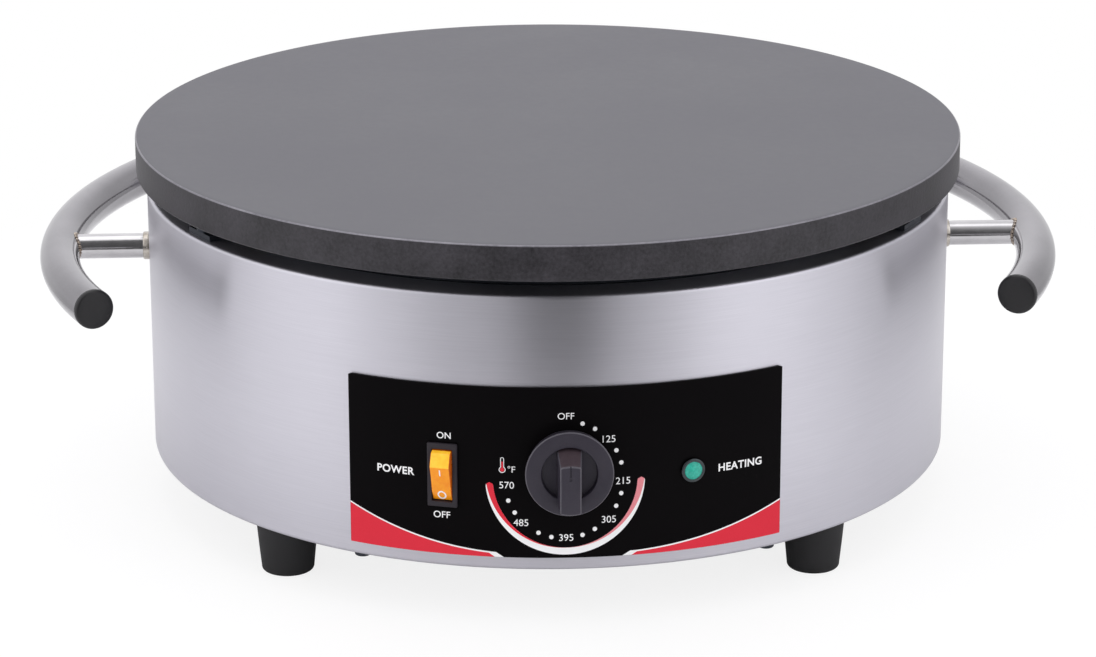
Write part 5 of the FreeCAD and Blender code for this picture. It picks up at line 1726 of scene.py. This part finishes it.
@dataclass
class Studio(Assembly):
    """The floor, the lamp and the camera at the photograph's viewing angle.

    Attributes:
        distance: Camera distance from the middle of the plate's top.
        rise: Angle of the camera above the plate, in degrees.
        pitch: How far the camera looks down, in degrees.
        side: Bearing of the camera, in degrees.
        roll: Roll of the camera, in degrees.
        focal_pixels: Focal length in pixels of the photograph's width.
        frame_width: The photograph's width in pixels.
        table: Radius of the floor.
        shadow_lift: Share of the even white in the floor that the camera sees.
        floor_white: Level of that white; with the lit share it comes to white.
        lamp_place: Place of the soft box over the table.
        lamp_aim: The point that it faces.
        lamp_size: Its side.
        lamp_power: Its power in watts.
        room_level: Brightness of the brightest part of the room.
        fill_level: Even light that reaches matt surfaces.
        around: The room's level by turn, from the back over the left side and the front, 0 to 1.
        upward: The room's level by height, 0 straight down and 1 straight up.
    """

    distance: float = 1.9661
    rise: float = 15.488
    pitch: float = 18.388
    side: float = -2.7
    roll: float = -0.103
    focal_pixels: float = 4033.8
    frame_width: float = 1096.0
    table: float = 0.56
    shadow_lift: float = 0.78
    floor_white: float = 1.06
    lamp_place: Sequence[float] = (-0.2, 0.3, 2.2)
    lamp_aim: Sequence[float] = (0.0, 0.0, 0.1)
    lamp_size: float = 1.6
    lamp_power: float = 6.0
    room_level: float = 1.6
    fill_level: float = 0.98
    around: Sequence[Point] = (
        (0.0, 0.75), (0.11, 0.62), (0.20, 0.70), (0.275, 0.94), (0.31, 1.0), (0.37, 0.72), (0.41, 0.50),
        (0.452, 0.42), (0.482, 0.09), (0.50, 0.03), (0.522, 0.04), (0.548, 0.40), (0.59, 0.62), (0.62, 0.92),
        (0.65, 1.02), (0.69, 0.94), (0.73, 0.80), (0.79, 0.56), (0.88, 0.52), (1.0, 0.75),
    )
    upward: Sequence[Point] = (
        (0.0, 0.35), (0.28, 0.50), (0.38, 0.72), (0.5, 0.86), (0.66, 0.95), (1.0, 0.92),
    )

    def build(self) -> None:
        """Sets up the whole studio."""
        self.camera()
        self.floor()
        self.lamp()
        self.world()
        bpy.context.scene.view_settings.view_transform = "Standard"

    def camera(self) -> None:
        """Places the camera."""
        data = bpy.data.cameras.new("camera")
        data.sensor_width = 36.0
        data.lens = self.focal_pixels / self.frame_width * data.sensor_width
        data.clip_end = 20.0
        camera = self.shop.object_from("camera", data)
        side, rise = math.radians(self.side), math.radians(self.rise)
        out = self.distance * math.cos(rise)
        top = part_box("cooking_plate")[1].z
        place = Vector((out * math.sin(side), -out * math.cos(side), top + self.distance * math.sin(rise)))
        turn = Matrix.Rotation(side, 4, "Z") @ Matrix.Rotation(math.radians(90.0 - self.pitch), 4, "X")
        turn = turn @ Matrix.Rotation(math.radians(self.roll), 4, "Z")
        camera.matrix_world = Matrix.Translation(place) @ turn
        bpy.context.scene.camera = camera

    def floor(self) -> None:
        """Lays a round pale floor that fades out and keeps a soft shadow."""
        shape = bmesh.new()
        bmesh.ops.create_circle(shape, cap_ends=True, segments=96, radius=self.table)
        floor = self.shop.object_from("floor", self.shop.mesh_from("floor", shape))
        floor.data.materials.append(self.floor_material())

    def floor_material(self) -> Material:
        """Makes the floor's material: pale, clear at the rim, lighter still to the camera.

        Returns:
            The material.
        """
        material = bpy.data.materials.new("pale_floor")
        material.use_nodes = True
        nodes = material.node_tree.nodes
        wires = Wiring(material.node_tree)
        shader = nodes["Principled BSDF"]
        pale = {"Base Color": (0.94, 0.94, 0.94, 1.0), "Roughness": 0.9, "Specular IOR Level": 0.1}
        wires.feed(shader, pale)
        white = wires.add("ShaderNodeEmission", {"Strength": self.floor_white})
        seen = wires.add("ShaderNodeLightPath").outputs["Is Camera Ray"]
        share = wires.compute("MULTIPLY", seen, self.shadow_lift)
        lifted = wires.add("ShaderNodeMixShader", {"Fac": share, 1: shader.outputs[0], 2: white.outputs[0]})
        place = wires.add("ShaderNodeTexCoord").outputs["Object"]
        reach = wires.add("ShaderNodeVectorMath", {0: place}, operation="LENGTH").outputs["Value"]
        near, far = self.table * 0.66, self.table * 0.98
        fade = wires.add(
            "ShaderNodeMapRange", {"From Min": near, "From Max": far, "Value": reach},
            interpolation_type="SMOOTHSTEP",
        )
        clear = wires.add("ShaderNodeBsdfTransparent")
        ends = {"Fac": fade.outputs["Result"], 1: lifted.outputs[0], 2: clear.outputs[0]}
        wires.feed(nodes["Material Output"], {"Surface": wires.add("ShaderNodeMixShader", ends).outputs[0]})
        return material

    def lamp(self) -> None:
        """Hangs the soft box over the table."""
        data = bpy.data.lights.new("top_box", "AREA")
        data.shape = "SQUARE"
        data.size = self.lamp_size
        data.energy = self.lamp_power
        lamp = self.shop.object_from("top_box", data)
        lamp.location = self.lamp_place
        lamp.rotation_mode = "QUATERNION"
        lamp.rotation_quaternion = (Vector(self.lamp_aim) - Vector(self.lamp_place)).to_track_quat("-Z", "Y")

    def world(self) -> None:
        """Lights the room by direction and shows white to the camera."""
        world = bpy.data.worlds.new("room")
        bpy.context.scene.world = world
        world.use_nodes = True
        nodes = world.node_tree.nodes
        wires = Wiring(world.node_tree)
        place = wires.add("ShaderNodeTexCoord").outputs["Generated"]
        east, north, high = wires.add("ShaderNodeSeparateXYZ", {0: place}).outputs
        turn = wires.compute("ARCTAN2", east, wires.compute("MULTIPLY", north, -1.0))
        around = self.ramp(wires, self.around, wires.compute("MULTIPLY_ADD", turn, 1.0 / math.tau, 0.5))
        upward = self.ramp(wires, self.upward, wires.compute("MULTIPLY_ADD", high, 0.5, 0.5))
        level = wires.compute("MULTIPLY", wires.compute("MULTIPLY", around, upward), self.room_level)
        seen = wires.add("ShaderNodeLightPath").outputs
        levels = {"Factor": seen["Is Diffuse Ray"], "A": level, "B": self.fill_level}
        even = wires.add("ShaderNodeMix", levels, data_type="FLOAT")
        soft = nodes["Background"]
        wires.feed(soft, {"Color": (0.98, 0.975, 1.0, 1.0), "Strength": even.outputs["Result"]})
        white = wires.add("ShaderNodeBackground", {"Color": (1.0, 1.0, 1.0, 1.0)})
        ends = {"Fac": seen["Is Camera Ray"], 1: soft.outputs[0], 2: white.outputs[0]}
        wires.feed(nodes["World Output"], {"Surface": wires.add("ShaderNodeMixShader", ends).outputs[0]})

    def ramp(self, wires: Wiring, stops: Sequence[Point], share: Socket) -> Socket:
        """Adds a grey ramp.

        Args:
            wires: The node tree's wiring.
            stops: (position, level) pairs.
            share: What the ramp is read at.

        Returns:
            The grey level.
        """
        node = wires.add("ShaderNodeValToRGB", {"Fac": share})
        node.color_ramp.interpolation = "EASE"
        elements = node.color_ramp.elements
        while len(elements) < len(stops):
            elements.new(0.5)
        for element, (position, level) in zip(elements, stops):
            element.position = position
            element.color = (level, level, level, 1.0)
        return node.outputs["Color"]


def main() -> None:
    """Builds the sub-assemblies in order."""
    logging.basicConfig(level=logging.INFO, format="%(name)s: %(message)s")
    shop = Workshop()
    for kind in (
        CookingPlate, Drum, CarryingRail, Feet, ControlPanel, ThermostatKnob, PowerSwitch, HeatingLamp,
        InnerWorks, Studio,
    ):
        LOG.info("building %s", kind.__name__)
        kind(shop).build()


if __name__ == "__main__":
    main()
